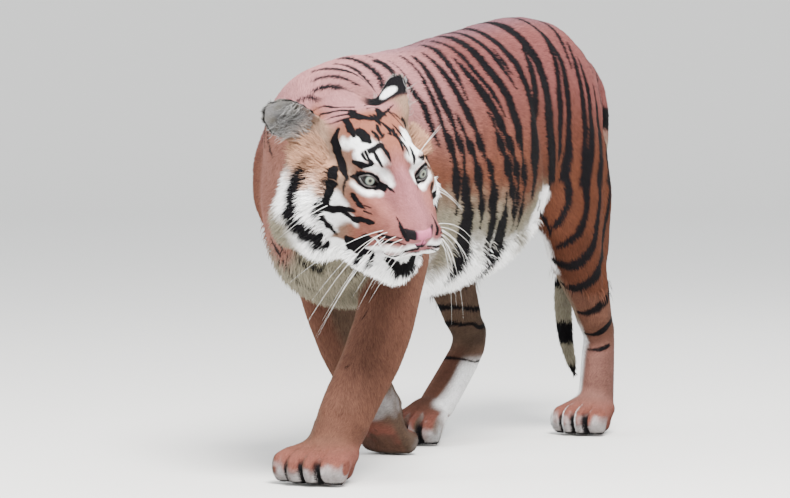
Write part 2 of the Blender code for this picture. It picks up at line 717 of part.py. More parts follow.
def stand_centred(pieces):
    """Puts the middle of the whole model's box over the origin, with its lowest point at z = 0."""
    points = [vertex.co for piece in pieces for vertex in piece.data.vertices]
    low = Vector([min(point[axis] for point in points) for axis in range(3)])
    high = Vector([max(point[axis] for point in points) for axis in range(3)])
    shift = Matrix.Translation((-(low.x + high.x) / 2, -(low.y + high.y) / 2, -low.z))
    for piece in pieces:
        piece.data.transform(shift)


def clear_scene():
    for made in list(bpy.data.objects):
        bpy.data.objects.remove(made)


def main():
    clear_scene()
    body = flesh()
    body = cut_away(body, add_floor)
    apart = []
    for side, block in FORELEGS.items():
        leg, body = part_off(body, lambda mesh, room: add_leg_block(mesh, *block, room))
        apart.append(cut_away(leg, lambda mesh: add_slab(mesh, *WRIST_CUTS[side])))
    for ear_of, width in ((EAR_RIGHT, 0.124), (EAR_LEFT, 0.098)):
        ear_piece, body = part_off(body, lambda mesh, room: add_ear_block(mesh, ear_of, width, room))
        apart.append(ear_piece)
    head, body = part_off(body, lambda mesh, room: add_prism(mesh, HEAD_BLOCK["left"], HEAD_BLOCK["right"], 0.24, room))
    for opening in (add_mouth, lambda mesh: add_slab(mesh, *JAW_BACK), add_head_openings):
        head = cut_away(head, opening)
    apart.append(head)
    for cut in BODY_CUTS.values():
        body = cut_away(body, lambda mesh: add_slab(mesh, *cut))
    for centre, radii in THIGHS.values():
        body = joined(part_off(body, lambda mesh, room: add_ball(mesh, centre, [radius + room for radius in radii])))
    body = joined([body, *apart])
    pieces = part_body(body)
    for name, shape in (
        ("eye_left", lambda mesh: add_eye(mesh, 1)),
        ("eye_right", lambda mesh: add_eye(mesh, -1)),
        ("nose", add_nose),
    ):
        mesh = bmesh.new()
        shape(mesh)
        pieces.append(object_of(name, from_bmesh(name, mesh)))
    for piece in pieces:
        kind = piece.name.split("_")[0]
        piece.data.materials.append(material_of(kind if kind in COLOURS else "coat"))
    stand_centred(pieces)


main()
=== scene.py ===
"""A life-size walking tiger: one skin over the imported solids, a coat of mesh tufts, eyes, nose and whiskers.

The tiger faces -Y with its left side at +X. Units are metres.
"""

import math

import bmesh
import bpy
import numpy as np
import openvdb as vdb
from mathutils import Matrix, Vector
from mathutils.bvhtree import BVHTree


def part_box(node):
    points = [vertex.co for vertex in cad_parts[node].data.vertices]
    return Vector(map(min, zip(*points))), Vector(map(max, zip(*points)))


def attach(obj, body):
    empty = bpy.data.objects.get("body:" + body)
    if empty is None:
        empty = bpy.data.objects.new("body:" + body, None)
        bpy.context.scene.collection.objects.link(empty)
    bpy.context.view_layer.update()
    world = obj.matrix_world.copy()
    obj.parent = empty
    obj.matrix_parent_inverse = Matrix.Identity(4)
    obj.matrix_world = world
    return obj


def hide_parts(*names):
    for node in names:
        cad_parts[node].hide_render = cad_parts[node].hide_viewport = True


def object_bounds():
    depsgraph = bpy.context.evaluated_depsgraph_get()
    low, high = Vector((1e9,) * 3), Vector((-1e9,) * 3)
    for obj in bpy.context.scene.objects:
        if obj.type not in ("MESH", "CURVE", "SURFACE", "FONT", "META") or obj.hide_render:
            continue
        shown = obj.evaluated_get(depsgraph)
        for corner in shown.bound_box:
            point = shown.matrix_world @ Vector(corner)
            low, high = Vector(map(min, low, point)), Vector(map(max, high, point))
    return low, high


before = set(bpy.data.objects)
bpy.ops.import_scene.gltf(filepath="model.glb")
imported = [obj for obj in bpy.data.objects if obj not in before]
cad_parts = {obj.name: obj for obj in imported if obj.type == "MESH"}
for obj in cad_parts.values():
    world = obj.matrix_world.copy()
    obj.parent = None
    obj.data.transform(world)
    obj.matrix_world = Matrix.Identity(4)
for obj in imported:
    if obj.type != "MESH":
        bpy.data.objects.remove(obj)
cad_low, cad_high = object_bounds()

# ---- places ----------------------------------------------------------------
NODES = sorted(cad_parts)
BARE = ("eye_left", "eye_right", "nose")
FLESH = [name for name in NODES if name not in BARE]
EYE_RADIUS = 0.0185
SKIN_VOXEL = 0.0048
BRIDGE = 0.0009  # how far outside the solids the skin is first drawn, so that their cuts close
MUZZLE_TURN = 0.0065  # how far the nose stands to the head's right
BOX_GAP = 0.0003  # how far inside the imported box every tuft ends
MOST_TRIANGLES = 190000  # in one piece of the coat
PATCH = 0.003  # side of one tuft's place in the unwrap


def middle(node):
    low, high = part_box(node)
    return (np.array(low) + np.array(high)) / 2


def head_axes():
    """Rows are the head's own x (to its left), y (to its back) and z (up) in the world."""
    turn = (
        Matrix.Rotation(math.radians(59.5), 3, "Z")
        @ Matrix.Rotation(math.radians(24.0), 3, "X")
        @ Matrix.Rotation(math.radians(-7.0), 3, "Y")
    )
    return np.array(turn).T


HEAD_AXES = head_axes()
EYES = {side: middle(f"eye_{side}") for side in ("left", "right")}
HEAD_ORIGIN = (EYES["left"] + EYES["right"]) / 2 - np.array((0.0, 0.006, -0.002)) @ HEAD_AXES


def to_head(points):
    return (points - HEAD_ORIGIN) @ HEAD_AXES.T


def from_head(points):
    return np.asarray(points) @ HEAD_AXES + HEAD_ORIGIN


# ---- small numeric helpers -------------------------------------------------
def unit(vectors):
    return vectors / np.maximum(np.linalg.norm(vectors, axis=-1, keepdims=True), 1e-12)


def smooth_step(value, start, end):
    """0 up to start and 1 from end on, with an even rise between them."""
    t = np.clip((value - start) / (end - start), 0.0, 1.0)
    return t * t * (3 - 2 * t)


def bell(distance, width):
    return np.exp(-((distance / width) ** 2))


def mix(a, b, weight):
    """From a to b; either may be one colour or way for all the weights."""
    return a + (b - a) * weight[:, None]


def value_noise(points, scale, seed):
    """Smooth noise from 0 to 1 over space, with features about scale metres across."""
    p = points / scale + 37.0 + 11.0 * seed
    base = np.floor(p).astype(np.int64)
    f = p - base
    f = f * f * (3 - 2 * f)
    total = np.zeros(len(points))
    for corner in range(8):
        offset = np.array([(corner >> axis) & 1 for axis in range(3)])
        cell = base + offset
        i, j, k = cell.T
        key = (i * 73856093) ^ (j * 19349663) ^ (k * 83492791) ^ (seed * 2654435761)
        key = (key ^ (key >> 13)) * 1274126177
        value = ((key ^ (key >> 16)) & 0xFFFF) / 65535.0
        weight = np.prod(np.where(offset, f, 1 - f), axis=1)
        total += value * weight
    return total


def along_line(points, line):
    """Distance from each point to a polyline, and how far along it, from 0 to 1."""
    line = np.asarray(line, float)
    steps = np.linalg.norm(np.diff(line, axis=0), axis=1)
    starts = np.concatenate(([0.0], np.cumsum(steps)))
    best = np.full(len(points), 1e9)
    where = np.zeros(len(points))
    for index, (a, b) in enumerate(zip(line[:-1], line[1:])):
        span = b - a
        t = np.clip((points - a) @ span / max(span @ span, 1e-12), 0, 1)
        distance = np.linalg.norm(points - (a + t[:, None] * span), axis=1)
        nearer = distance < best
        best[nearer] = distance[nearer]
        where[nearer] = (starts[index] + t[nearer] * steps[index]) / starts[-1]
    return best, where


# ---- meshes ----------------------------------------------------------------
def mesh_points(mesh):
    points = np.empty(len(mesh.vertices) * 3)
    mesh.vertices.foreach_get("co", points)
    return points.reshape(-1, 3)


def mesh_edges(mesh):
    edges = np.empty(len(mesh.edges) * 2, np.int32)
    mesh.edges.foreach_get("vertices", edges)
    return edges.reshape(-1, 2)


def mesh_faces(mesh):
    """Faces as rows of four corners; a triangle repeats its last corner."""
    totals = np.empty(len(mesh.polygons), np.int32)
    starts = np.empty(len(mesh.polygons), np.int32)
    corners = np.empty(len(mesh.loops), np.int32)
    mesh.polygons.foreach_get("loop_total", totals)
    mesh.polygons.foreach_get("loop_start", starts)
    mesh.loops.foreach_get("vertex_index", corners)
    columns = [corners[starts + np.minimum(k, totals - 1)] for k in range(4)]
    return np.stack(columns, axis=1)


def smooth_mesh(name, points, faces):
    mesh = bpy.data.meshes.new(name)
    mesh.from_pydata(points, [], faces)
    mesh.polygons.foreach_set("use_smooth", np.ones(len(faces), bool))
    return mesh


def add_object(name, mesh, material=None):
    made = bpy.data.objects.new(name, mesh)
    bpy.context.scene.collection.objects.link(made)
    if material:
        mesh.materials.append(material)
    return made


class Web:
    """Neighbour sums over the vertices of a mesh."""

    def __init__(self, mesh):
        edges = mesh_edges(mesh)
        self.count = len(mesh.vertices)
        self.start = np.concatenate((edges[:, 0], edges[:, 1]))
        self.end = np.concatenate((edges[:, 1], edges[:, 0]))
        self.degree = np.maximum(np.bincount(self.start, minlength=self.count), 1)

    def mean(self, values):
        """The mean of each vertex's neighbours."""
        columns = [np.bincount(self.start, values[self.end, k], self.count) for k in range(values.shape[1])]
        return np.stack(columns, axis=1) / self.degree[:, None]

    def even(self, values, rounds, amount=0.5):
        """Values moved towards the mean of their neighbours, as many times as rounds says."""
        amount = np.broadcast_to(amount, (self.count,))[:, None]
        for _ in range(rounds):
            values = values + (self.mean(values) - values) * amount
        return values


def vertex_normals(points, faces):
    across = np.cross(points[faces[:, 2]] - points[faces[:, 0]], points[faces[:, 3]] - points[faces[:, 1]])
    flat = faces[:, 3] == faces[:, 2]
    if flat.any():
        tri = faces[flat]
        across[flat] = np.cross(points[tri[:, 1]] - points[tri[:, 0]], points[tri[:, 2]] - points[tri[:, 0]])
    normals = np.zeros_like(points)
    for corner in range(4):
        for axis in range(3):
            normals[:, axis] += np.bincount(faces[:, corner], across[:, axis], len(points))
    return unit(normals)


# ---- the skin's first form: the solids of flesh, merged --------------------
def merged_solids():
    """One closed surface round all the solids, with the thin cuts between them bridged."""
    cells = vdb.createLinearTransform(voxelSize=SKIN_VOXEL)
    low = np.floor(np.array(cad_low) / SKIN_VOXEL).astype(int) - 6
    high = np.ceil(np.array(cad_high) / SKIN_VOXEL).astype(int) + 6
    depth = np.full(high - low, 4 * SKIN_VOXEL, np.float32)
    for name in NODES:
        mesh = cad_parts[name].data
        points = mesh_points(mesh).astype(np.float32)
        triangles = mesh_faces(mesh)[:, :3].astype(np.uint32)
        grid = vdb.FloatGrid.createLevelSetFromPolygons(
            points, triangles=triangles, transform=cells, halfWidth=4.0
        )
        one = np.empty(high - low, np.float32)
        grid.copyToArray(one, ijk=tuple(int(v) for v in low))
        np.minimum(depth, one, out=depth)
    grid = vdb.FloatGrid(4 * SKIN_VOXEL)
    grid.transform = cells
    grid.copyFromArray(depth, ijk=tuple(int(v) for v in low))
    points, quads = grid.convertToQuads(isovalue=BRIDGE)
    mesh = bpy.data.meshes.new("skin")
    mesh.from_pydata(points.tolist(), [], quads.tolist())
    return mesh


def label_tree():
    """A search tree over the solids, and the node that each of its faces belongs to."""
    points, faces, owner = [], [], []
    for index, name in enumerate(NODES):
        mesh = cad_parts[name].data
        first = len(points)
        points.extend(vertex.co.copy() for vertex in mesh.vertices)
        for polygon in mesh.polygons:
            faces.append([first + corner for corner in polygon.vertices])
            owner.append(index)
    return BVHTree.FromPolygons(points, faces), np.array(owner)


TREE, OWNER = label_tree()


def labels_of(points):
    return np.array([OWNER[TREE.find_nearest(Vector(point))[2]] for point in points])


def body_only(mesh):
    """Drops the small closed bits that the narrow mouth leaves inside."""
    web = Web(mesh)
    group = np.arange(web.count)
    while True:
        lower = group.copy()
        np.minimum.at(lower, web.start, group[web.end])
        lower = lower[lower]
        lower = lower[lower]
        if (lower == group).all():
            break
        group = lower
    keep = group == np.bincount(group).argmax()
    number = np.cumsum(keep) - 1
    faces = mesh_faces(mesh)
    faces = number[faces[keep[faces[:, 0]]]]
    made = bpy.data.meshes.new("skin")
    made.from_pydata(mesh_points(mesh)[keep].tolist(), [], faces.tolist())
    bpy.data.meshes.remove(mesh)
    return made


def finer_where(mesh, chosen):
    """Splits each face in four where all of its corners are chosen."""
    work = bmesh.new()
    work.from_mesh(mesh)
    work.verts.ensure_lookup_table()
    edges = [edge for edge in work.edges if chosen[edge.verts[0].index] and chosen[edge.verts[1].index]]
    bmesh.ops.subdivide_edges(work, edges=edges, cuts=1, use_grid_fill=True)
    bmesh.ops.triangulate(work, faces=[face for face in work.faces if len(face.verts) > 4])
    work.to_mesh(mesh)
    work.free()
    return mesh


def near_parts(points):
    """The solid that each point belongs to, and for each family of solids 1 at its own points."""
    labels = labels_of(points)
    families = {
        "face": ("head", "lower_jaw", "nose", "eye_left", "eye_right"),
        "ears": ("ear_left", "ear_right"),
        "paws": ("forepaw_left", "forepaw_right", "hindpaw_left", "hindpaw_right"),
        "legs": ("foreleg_left", "foreleg_right", "shank_left", "shank_right"),
        "tail": ("tail_1", "tail_2", "tail_3"),
    }
    return labels, {
        family: np.isin(labels, [NODES.index(name) for name in names]).astype(float)
        for family, names in families.items()
    }


def first_form():
    """The merged solids, evened and made finer on the head, round the eyes and at the nose."""
    mesh = body_only(merged_solids())
    points = mesh_points(mesh)
    family = near_parts(points)[1]
    web = Web(mesh)
    loose = 1.0 - 0.80 * family["face"] - 0.85 * family["ears"]
    loose = loose - 0.75 * family["paws"] - 0.45 * family["legs"]
    loose = web.even(np.stack([loose - 0.4 * family["tail"]], axis=1), 6)[:, 0]
    points = web.even(points, 26, 0.5 * np.clip(loose, 0, 1))
    mesh.vertices.foreach_set("co", points.ravel())
    local = to_head(points)
    head = (family["face"] + family["ears"] > 0) & (local[:, 1] < 0.25)
    mesh = finer_where(mesh, head)
    local = to_head(mesh_points(mesh))
    fine = np.linalg.norm(local - (0, -0.122, -0.056), axis=1) < 0.034
    for side in EYES:
        fine |= np.linalg.norm(local - to_head(EYES[side]), axis=1) < 0.034
    mesh = finer_where(mesh, fine)
    web = Web(mesh)
    points = mesh_points(mesh)
    local = to_head(points)
    return mesh, web.even(points, 4, 0.4 * (local[:, 1] < 0.3))


# ---- the tiger's parts, as the coat sees them ------------------------------
def of_nodes(labels, *names):
    return np.isin(labels, [NODES.index(name) for name in names]).astype(float)


mesh, points = first_form()
faces = mesh_faces(mesh)
web = Web(mesh)
labels, family = near_parts(points)
normals = vertex_normals(points, faces)
soft = web.even(np.stack([*family.values(), of_nodes(labels, "thigh_left", "thigh_right")], axis=1), 8)
FACE, EARS, PAWS, LEGS, TAIL, THIGHS = range(6)  # the columns of soft
local = to_head(points)

# length and width of the short tufts over the body, and their number to the square metre
on_face, on_ears, on_paws, on_legs, on_tail, on_thighs = soft.T
coat_length = 0.0145 - 0.0088 * on_face - 0.0075 * on_ears - 0.0082 * on_paws - 0.0035 * on_legs
coat_width = 0.0024 - 0.00115 * on_face - 0.0011 * on_ears - 0.0009 * on_paws - 0.0003 * on_legs
coat_count = 240e3 + 330e3 * on_face + 240e3 * on_ears + 160e3 * on_paws + 60e3 * on_legs
muzzle_near = bell(np.linalg.norm(local - (0, -0.10, -0.04), axis=1), 0.055) * on_face
coat_length *= 1 - 0.35 * muzzle_near
coat_width *= 1 - 0.20 * muzzle_near

# the skin lies inside the solids by the depth of the coat on it
inset = 0.28 * coat_length + 0.0006
points = points - normals * (BRIDGE + inset)[:, None]


# ---- sculpting the face ----------------------------------------------------
def mirrored(line):
    return [(-x, y, z) for x, y, z in line]


# each stroke: line in the head's axes, on its right side; radius; how far out (+) or in (-)
STROKES = (
    ([(-0.012, -0.122, -0.072), (-0.030, -0.117, -0.077), (-0.050, -0.098, -0.086),
      (-0.062, -0.060, -0.098), (-0.068, -0.020, -0.108)], 0.0032, -0.0035),
    ([(-0.028, -0.105, -0.056), (-0.040, -0.088, -0.062)], 0.016, 0.0045),
    ([(-0.020, -0.050, 0.004), (-0.018, -0.090, -0.018)], 0.010, -0.0020),
    ([(-0.062, 0.010, 0.026), (-0.045, -0.006, 0.030), (-0.028, -0.014, 0.022)], 0.009, 0.0035),
    ([(-0.070, -0.004, -0.014), (-0.050, -0.022, -0.016), (-0.034, -0.040, -0.012)], 0.007, 0.0015),
    ([(-0.072, -0.014, -0.030), (-0.060, -0.050, -0.042)], 0.012, -0.0025),
)


def sculpt_face(points, local, normals):
    """Cuts the lip line and raises the pads, brows and cheeks."""
    moved = np.zeros(len(points))
    for line, radius, depth in STROKES:
        for side in (line, mirrored(line)):
            moved += depth * bell(along_line(local, side)[0], radius)
    groove = along_line(local, [(-MUZZLE_TURN, -0.128, -0.066), (-MUZZLE_TURN, -0.124, -0.078)])[0]
    moved -= 0.0022 * bell(groove, 0.0022)
    return points + normals * (moved * (soft[:, FACE] > 0.3))[:, None]


# ---- sculpting the toes ----------------------------------------------------
# each paw: middle, heading in degrees, width and length, and how far the toes spread
PAW_PLACES = (
    ((-0.008, -0.543), -4, 0.112, 0.165, 1.06),
    ((-0.016, 0.515), -3, 0.098, 0.150, 1.0),
    ((-0.204, 0.181), 2, 0.098, 0.150, 1.0),
    ((-0.160, -0.085), 180, 0.104, 0.150, 1.0),
)


def toe_lanes(points):
    """Depth in the gaps between the toes, 0 to 1, and how far onto the toes a point is."""
    gap = np.zeros(len(points))
    onto = np.zeros(len(points))
    for (px, py), heading, width, length, splay in PAW_PLACES:
        turn = math.radians(heading)
        dx, dy = points[:, 0] - px, points[:, 1] - py
        across = dx * math.cos(turn) + dy * math.sin(turn)
        ahead = -(dy * math.cos(turn) - dx * math.sin(turn))
        here = (np.abs(across) < width * 0.62) & (ahead > 0) & (ahead < length * 0.7) & (points[:, 2] < 0.09)
        forward = smooth_step(ahead, length * 0.16, length * 0.36)
        for lane in (-1.0, 0.0, 1.0):
            middle_line = lane * width * 0.238 * splay * (0.8 + 0.3 * forward)
            gap = np.maximum(gap, np.where(here, bell(across - middle_line, 0.0042) * forward, 0))
        onto = np.maximum(onto, np.where(here, forward, 0))
    return gap, onto


toe_gap, toe_onto = toe_lanes(points)
on_top = smooth_step(points[:, 2], 0.004, 0.014) * smooth_step(soft[:, PAWS], 0.3, 0.6)
points = points + normals * ((0.0016 * toe_onto - 0.0085 * toe_gap) * on_top)[:, None]
knuckle = bell(points[:, 2] - 0.047, 0.010) * toe_onto * (1 - toe_gap) * on_top
points = points + normals * (0.0022 * knuckle)[:, None]

# forms of the body under the coat: line, radius, how far out (+) or in (-)
BODY_STROKES = (
    (((-0.010, -0.330, 0.670), (0.010, -0.375, 0.580), (0.030, -0.415, 0.480)), 0.032, 0.0040),
    (((0.000, -0.255, 0.660), (0.040, -0.262, 0.560), (0.046, -0.278, 0.430)), 0.024, -0.0055),
    (((0.050, -0.330, 0.405), (0.040, -0.310, 0.385)), 0.024, 0.0045),
    (((0.036, -0.400, 0.380), (0.030, -0.420, 0.300)), 0.022, 0.0030),
    (((-0.010, -0.540, 0.122), (0.020, -0.540, 0.122)), 0.016, 0.0030),
    (((-0.012, -0.480, 0.165), (0.034, -0.480, 0.165)), 0.014, -0.0020),
    (((-0.040, 0.290, 0.765), (0.000, 0.315, 0.730)), 0.030, 0.0050),
    (((0.020, 0.165, 0.620), (0.045, 0.190, 0.530), (0.040, 0.225, 0.440), (0.010, 0.250, 0.400)),
     0.020, -0.0060),
    (((0.052, 0.300, 0.440), (0.050, 0.330, 0.380)), 0.026, 0.0040),
    (((0.040, 0.445, 0.330), (0.020, 0.480, 0.260), (0.012, 0.505, 0.215)), 0.009, -0.0040),
    (((0.050, 0.470, 0.560), (0.052, 0.440, 0.440)), 0.020, -0.0030),
    (((-0.180, -0.330, 0.670), (-0.205, -0.350, 0.580), (-0.215, -0.370, 0.480)), 0.032, 0.0040),
    (((-0.190, -0.200, 0.640), (-0.222, -0.170, 0.540), (-0.225, -0.160, 0.430)), 0.024, -0.0055),
    (((-0.228, -0.205, 0.400), (-0.225, -0.185, 0.380)), 0.024, 0.0045),
    (((-0.148, 0.215, 0.765), (-0.190, 0.240, 0.730)), 0.030, 0.0050),
    (((-0.205, 0.090, 0.600), (-0.228, 0.110, 0.520), (-0.222, 0.140, 0.430)), 0.020, -0.0060),
    (((-0.235, 0.260, 0.350), (-0.225, 0.310, 0.270), (-0.215, 0.340, 0.220)), 0.009, -0.0040),
)


def body_forms(points, normals):
    """Shoulder, elbow, hock and flank forms, faint ribs, and a slight unevenness."""
    moved = np.zeros(len(points))
    for line, radius, depth in BODY_STROKES:
        moved += depth * bell(along_line(points, line)[0], radius)
    ribs = smooth_step(points[:, 1], -0.24, -0.18) * smooth_step(0.14 - points[:, 1], 0, 0.06)
    ribs *= smooth_step(points[:, 2], 0.40, 0.46) * smooth_step(0.64 - points[:, 2], 0, 0.06)
    lean = points[:, 1] - 0.35 * (points[:, 2] - 0.5)
    moved += 0.0011 * ribs * np.sin(lean * 2 * math.pi / 0.036)
    moved += 0.0016 * (value_noise(points, 0.05, 21) - 0.5) * 2
    quiet = np.clip(soft[:, FACE] + soft[:, PAWS] + soft[:, EARS] + soft[:, TAIL], 0, 1)
    return points + normals * (moved * (1 - quiet))[:, None]


points = body_forms(points, normals)
# the muzzle turned a little to its right, and its far side drawn in
local = to_head(points)
ahead = smooth_step(-local[:, 1], 0.02, 0.11) * on_face
far_side = 0.07 * np.maximum(local[:, 0] - 0.02, 0) * smooth_step(-local[:, 1], -0.03, 0.03) * on_face
pull = MUZZLE_TURN * ahead + far_side
points = points - pull[:, None] * HEAD_AXES[0]
local = to_head(points)
normals = vertex_normals(points, faces)
before_sculpt = points.copy()
points = sculpt_face(points, local, normals)

# ---- eyes: lids round an almond opening ------------------------------------
EYE_WIDTH, EYE_HEIGHT = 0.0155, 0.0088  # half sizes of the opening
INNER_REACH = 1.32  # the inner corner's distance, in half widths


def eye_frame(side):
    """Axes of one opening: towards the outer corner, up, and out of the head."""
    sign = 1.0 if side == "left" else -1.0
    out = unit(np.array((sign * 0.46, -0.86, 0.20)))
    along = unit(np.array((sign * 0.86, 0.44, 0.16)))
    along = unit(along - out * (along @ out))
    up = np.cross(along, out) * sign
    up = up if up[2] > 0 else -up
    return np.stack((along, up, out)) @ HEAD_AXES


def almond(t):
    """Middle line and half height of the opening; its inner corner (t < 0) runs to a point and dips."""
    half = EYE_HEIGHT * np.clip(1 - np.abs(np.where(t < 0, t / INNER_REACH, t)) ** 1.9, 0, 1) ** 0.85
    return 0.0010 * t - 0.0028 * smooth_step(-t, 0.3, 1.3), half


def opening(a, b):
    """Negative inside the almond, in metres."""
    middle_line, half = almond(np.clip(a / EYE_WIDTH, -1.35, 1.0))
    over = np.abs(b - middle_line) - half
    return np.where((a > EYE_WIDTH) | (a < -INNER_REACH * EYE_WIDTH), np.maximum(over, 0.003), over)


def part_lids(points):
    """Sinks the skin behind each eyeball inside the opening, and lifts the lids round it."""
    points = points.copy()
    for side, centre in EYES.items():
        along, up, out = eye_frame(side)
        away = points - centre
        a, b, depth = away @ along, away @ up, away @ out
        distance = np.linalg.norm(away, axis=1)
        near = (distance < 0.045) & (depth > -0.004)
        edge = opening(a, b)
        inside = near & (edge < -0.0002) & (depth > 0)
        points[inside] = centre + away[inside] * ((EYE_RADIUS - 0.0050) / distance[inside])[:, None]
        lid = near & ~inside
        want = EYE_RADIUS + 0.0014 + 0.0016 * smooth_step(edge[lid], 0.0, 0.006)
        short = np.maximum(want - distance[lid], 0) * smooth_step(-edge[lid], -0.016, -0.006)
        points[lid] += away[lid] * (short / distance[lid])[:, None]
    return points


points = part_lids(points)
normals = vertex_normals(points, faces)
mesh.vertices.foreach_set("co", points.ravel())
mesh.polygons.foreach_set("use_smooth", np.ones(len(mesh.polygons), bool))
skin = add_object("skin", mesh)
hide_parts(*FLESH)
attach(skin, "root")

# ---- markings --------------------------------------------------------------
SPINE_X, CORE_Z = -0.094, 0.545  # the line down the middle of the trunk that angles are taken round

# Many points of the tables of markings, from here to BODY_MARKS, were not laid out by hand: a scratch
# program worked them out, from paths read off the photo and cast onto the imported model.
# stripes of the trunk: (angle in degrees from level, 90 at the spine; y; half width in mm)
STRIPES = (
    ((76, -0.246, 1), (60, -0.240, 3), (40, -0.228, 5), (20, -0.226, 5), (6, -0.221, 2)),
    (
        (80, -0.180, 2), (60, -0.188, 4), (40, -0.193, 6), (20, -0.188, 7), (0, -0.177, 8),
        (-20, -0.170, 9), (-38, -0.165, 3),
    ),
    (
        (78, -0.150, 3), (60, -0.158, 9), (40, -0.161, 9), (20, -0.154, 7), (0, -0.147, 6),
        (-20, -0.140, 8), (-40, -0.129, 20), (-60, -0.110, 26), (-72, -0.100, 4),
    ),
    ((32, -0.135, 1), (20, -0.130, 5), (0, -0.107, 9), (-20, -0.093, 9), (-40, -0.070, 4), (-46, -0.066, 0)),
    ((78, -0.109, 2), (60, -0.108, 8), (40, -0.101, 10), (20, -0.089, 9), (0, -0.072, 5), (-8, -0.070, 0)),
    ((-1, -0.058, 1), (-20, -0.044, 10), (-40, -0.027, 11), (-56, -0.010, 8), (-64, 0.010, 3)),
    (
        (-24, 0.008, 1), (-40, 0.016, 11), (-56, 0.034, 18), (-72, 0.052, 16), (-90, 0.062, 11),
        (-110, 0.060, 3),
    ),
    ((88, -0.061, 4), (80, -0.061, 8), (60, -0.074, 8), (40, -0.079, 1)),
    ((88, -0.017, 3), (80, -0.016, 5), (60, -0.005, 6), (40, 0.020, 6), (26, 0.034, 1)),
    (
        (70, -0.038, 2), (60, -0.034, 7), (40, -0.012, 12), (20, 0.010, 11), (0, 0.035, 8),
        (-20, 0.061, 7), (-37, 0.070, 1),
    ),
    ((31, -0.026, 1), (20, -0.018, 6), (0, 0.004, 10), (-20, 0.030, 9), (-40, 0.063, 5), (-48, 0.072, 0)),
    (
        (92, 0.034, 7), (80, 0.034, 10), (60, 0.045, 12), (40, 0.068, 12), (20, 0.071, 13), (0, 0.075, 8),
        (-20, 0.087, 6), (-40, 0.096, 4), (-50, 0.100, 0),
    ),
    ((90, 0.087, 6), (80, 0.087, 8), (60, 0.098, 8), (45, 0.112, 2)),
    ((71, 0.112, 1), (62, 0.118, 5), (54, 0.122, 1)),
    ((92, 0.141, 6), (80, 0.143, 8), (60, 0.160, 10), (40, 0.158, 10), (23, 0.154, 7), (14, 0.150, 1)),
    (
        (70, 0.226, 2), (60, 0.215, 9), (40, 0.184, 9), (20, 0.152, 14), (0, 0.139, 18), (-20, 0.136, 10),
        (-32, 0.135, 1),
    ),
    (
        (94, 0.226, 9), (80, 0.232, 13), (60, 0.256, 13), (40, 0.242, 15), (20, 0.229, 15), (0, 0.231, 15),
        (-20, 0.246, 15), (-40, 0.270, 7), (-54, 0.288, 1),
    ),
    ((76, 0.325, 2), (60, 0.322, 7), (40, 0.304, 9), (20, 0.286, 10), (0, 0.281, 9), (-9, 0.280, 1)),
    (
        (90, 0.320, 5), (80, 0.326, 8), (60, 0.352, 9), (40, 0.340, 8), (20, 0.329, 8), (0, 0.321, 8),
        (-20, 0.300, 9), (-40, 0.286, 5), (-46, 0.284, 0),
    ),
    ((90, 0.412, 3), (76, 0.405, 6), (58, 0.389, 2)),
    ((72, 0.428, 2), (60, 0.416, 7), (40, 0.410, 9), (20, 0.391, 7), (0, 0.366, 6), (-21, 0.339, 3)),
    (
        (66, 0.444, 2), (60, 0.445, 5), (40, 0.446, 8), (20, 0.424, 10), (0, 0.392, 11), (-20, 0.354, 14),
        (-40, 0.329, 11), (-58, 0.310, 1),
    ),
    ((-30, 0.312, 4), (-40, 0.304, 9), (-55, 0.298, 11), (-68, 0.305, 6), (-74, 0.322, 1)),
    (
        (54, 0.490, 2), (40, 0.498, 6), (20, 0.500, 9), (0, 0.460, 12), (-20, 0.424, 11), (-40, 0.392, 15),
        (-60, 0.340, 9), (-70, 0.328, 2),
    ),
    # the rump and the back of the thigh
    ((92, 0.500, 6), (78, 0.505, 6), (62, 0.520, 2)),
    ((92, 0.565, 6), (72, 0.572, 5), (56, 0.584, 1)),
    ((92, 0.622, 5), (70, 0.628, 4), (56, 0.636, 1)),
    (
        (60, 0.560, 2), (40, 0.566, 6), (20, 0.556, 8), (0, 0.530, 8), (-20, 0.490, 9), (-38, 0.455, 8),
        (-54, 0.420, 2),
    ),
    ((34, 0.622, 2), (18, 0.616, 5), (0, 0.594, 7), (-16, 0.560, 8), (-32, 0.520, 8), (-46, 0.480, 3)),
    # over the neck and the shoulders, thin and broken
    ((88, -0.272, 2), (70, -0.284, 4), (50, -0.300, 2), (34, -0.306, 1)),
    ((90, -0.306, 3), (66, -0.328, 4), (44, -0.344, 1)),
    ((80, -0.346, 2), (58, -0.366, 4), (36, -0.378, 1)),
    ((90, -0.376, 3), (60, -0.398, 4), (30, -0.418, 3), (12, -0.428, 0)),
    ((78, -0.414, 2), (52, -0.434, 4), (30, -0.444, 1)),
    ((88, -0.446, 3), (62, -0.462, 4), (34, -0.474, 2), (10, -0.480, 0)),
    ((70, -0.484, 2), (46, -0.498, 4), (20, -0.506, 1)),
    ((86, -0.516, 3), (60, -0.528, 4), (28, -0.540, 2), (0, -0.546, 0)),
)

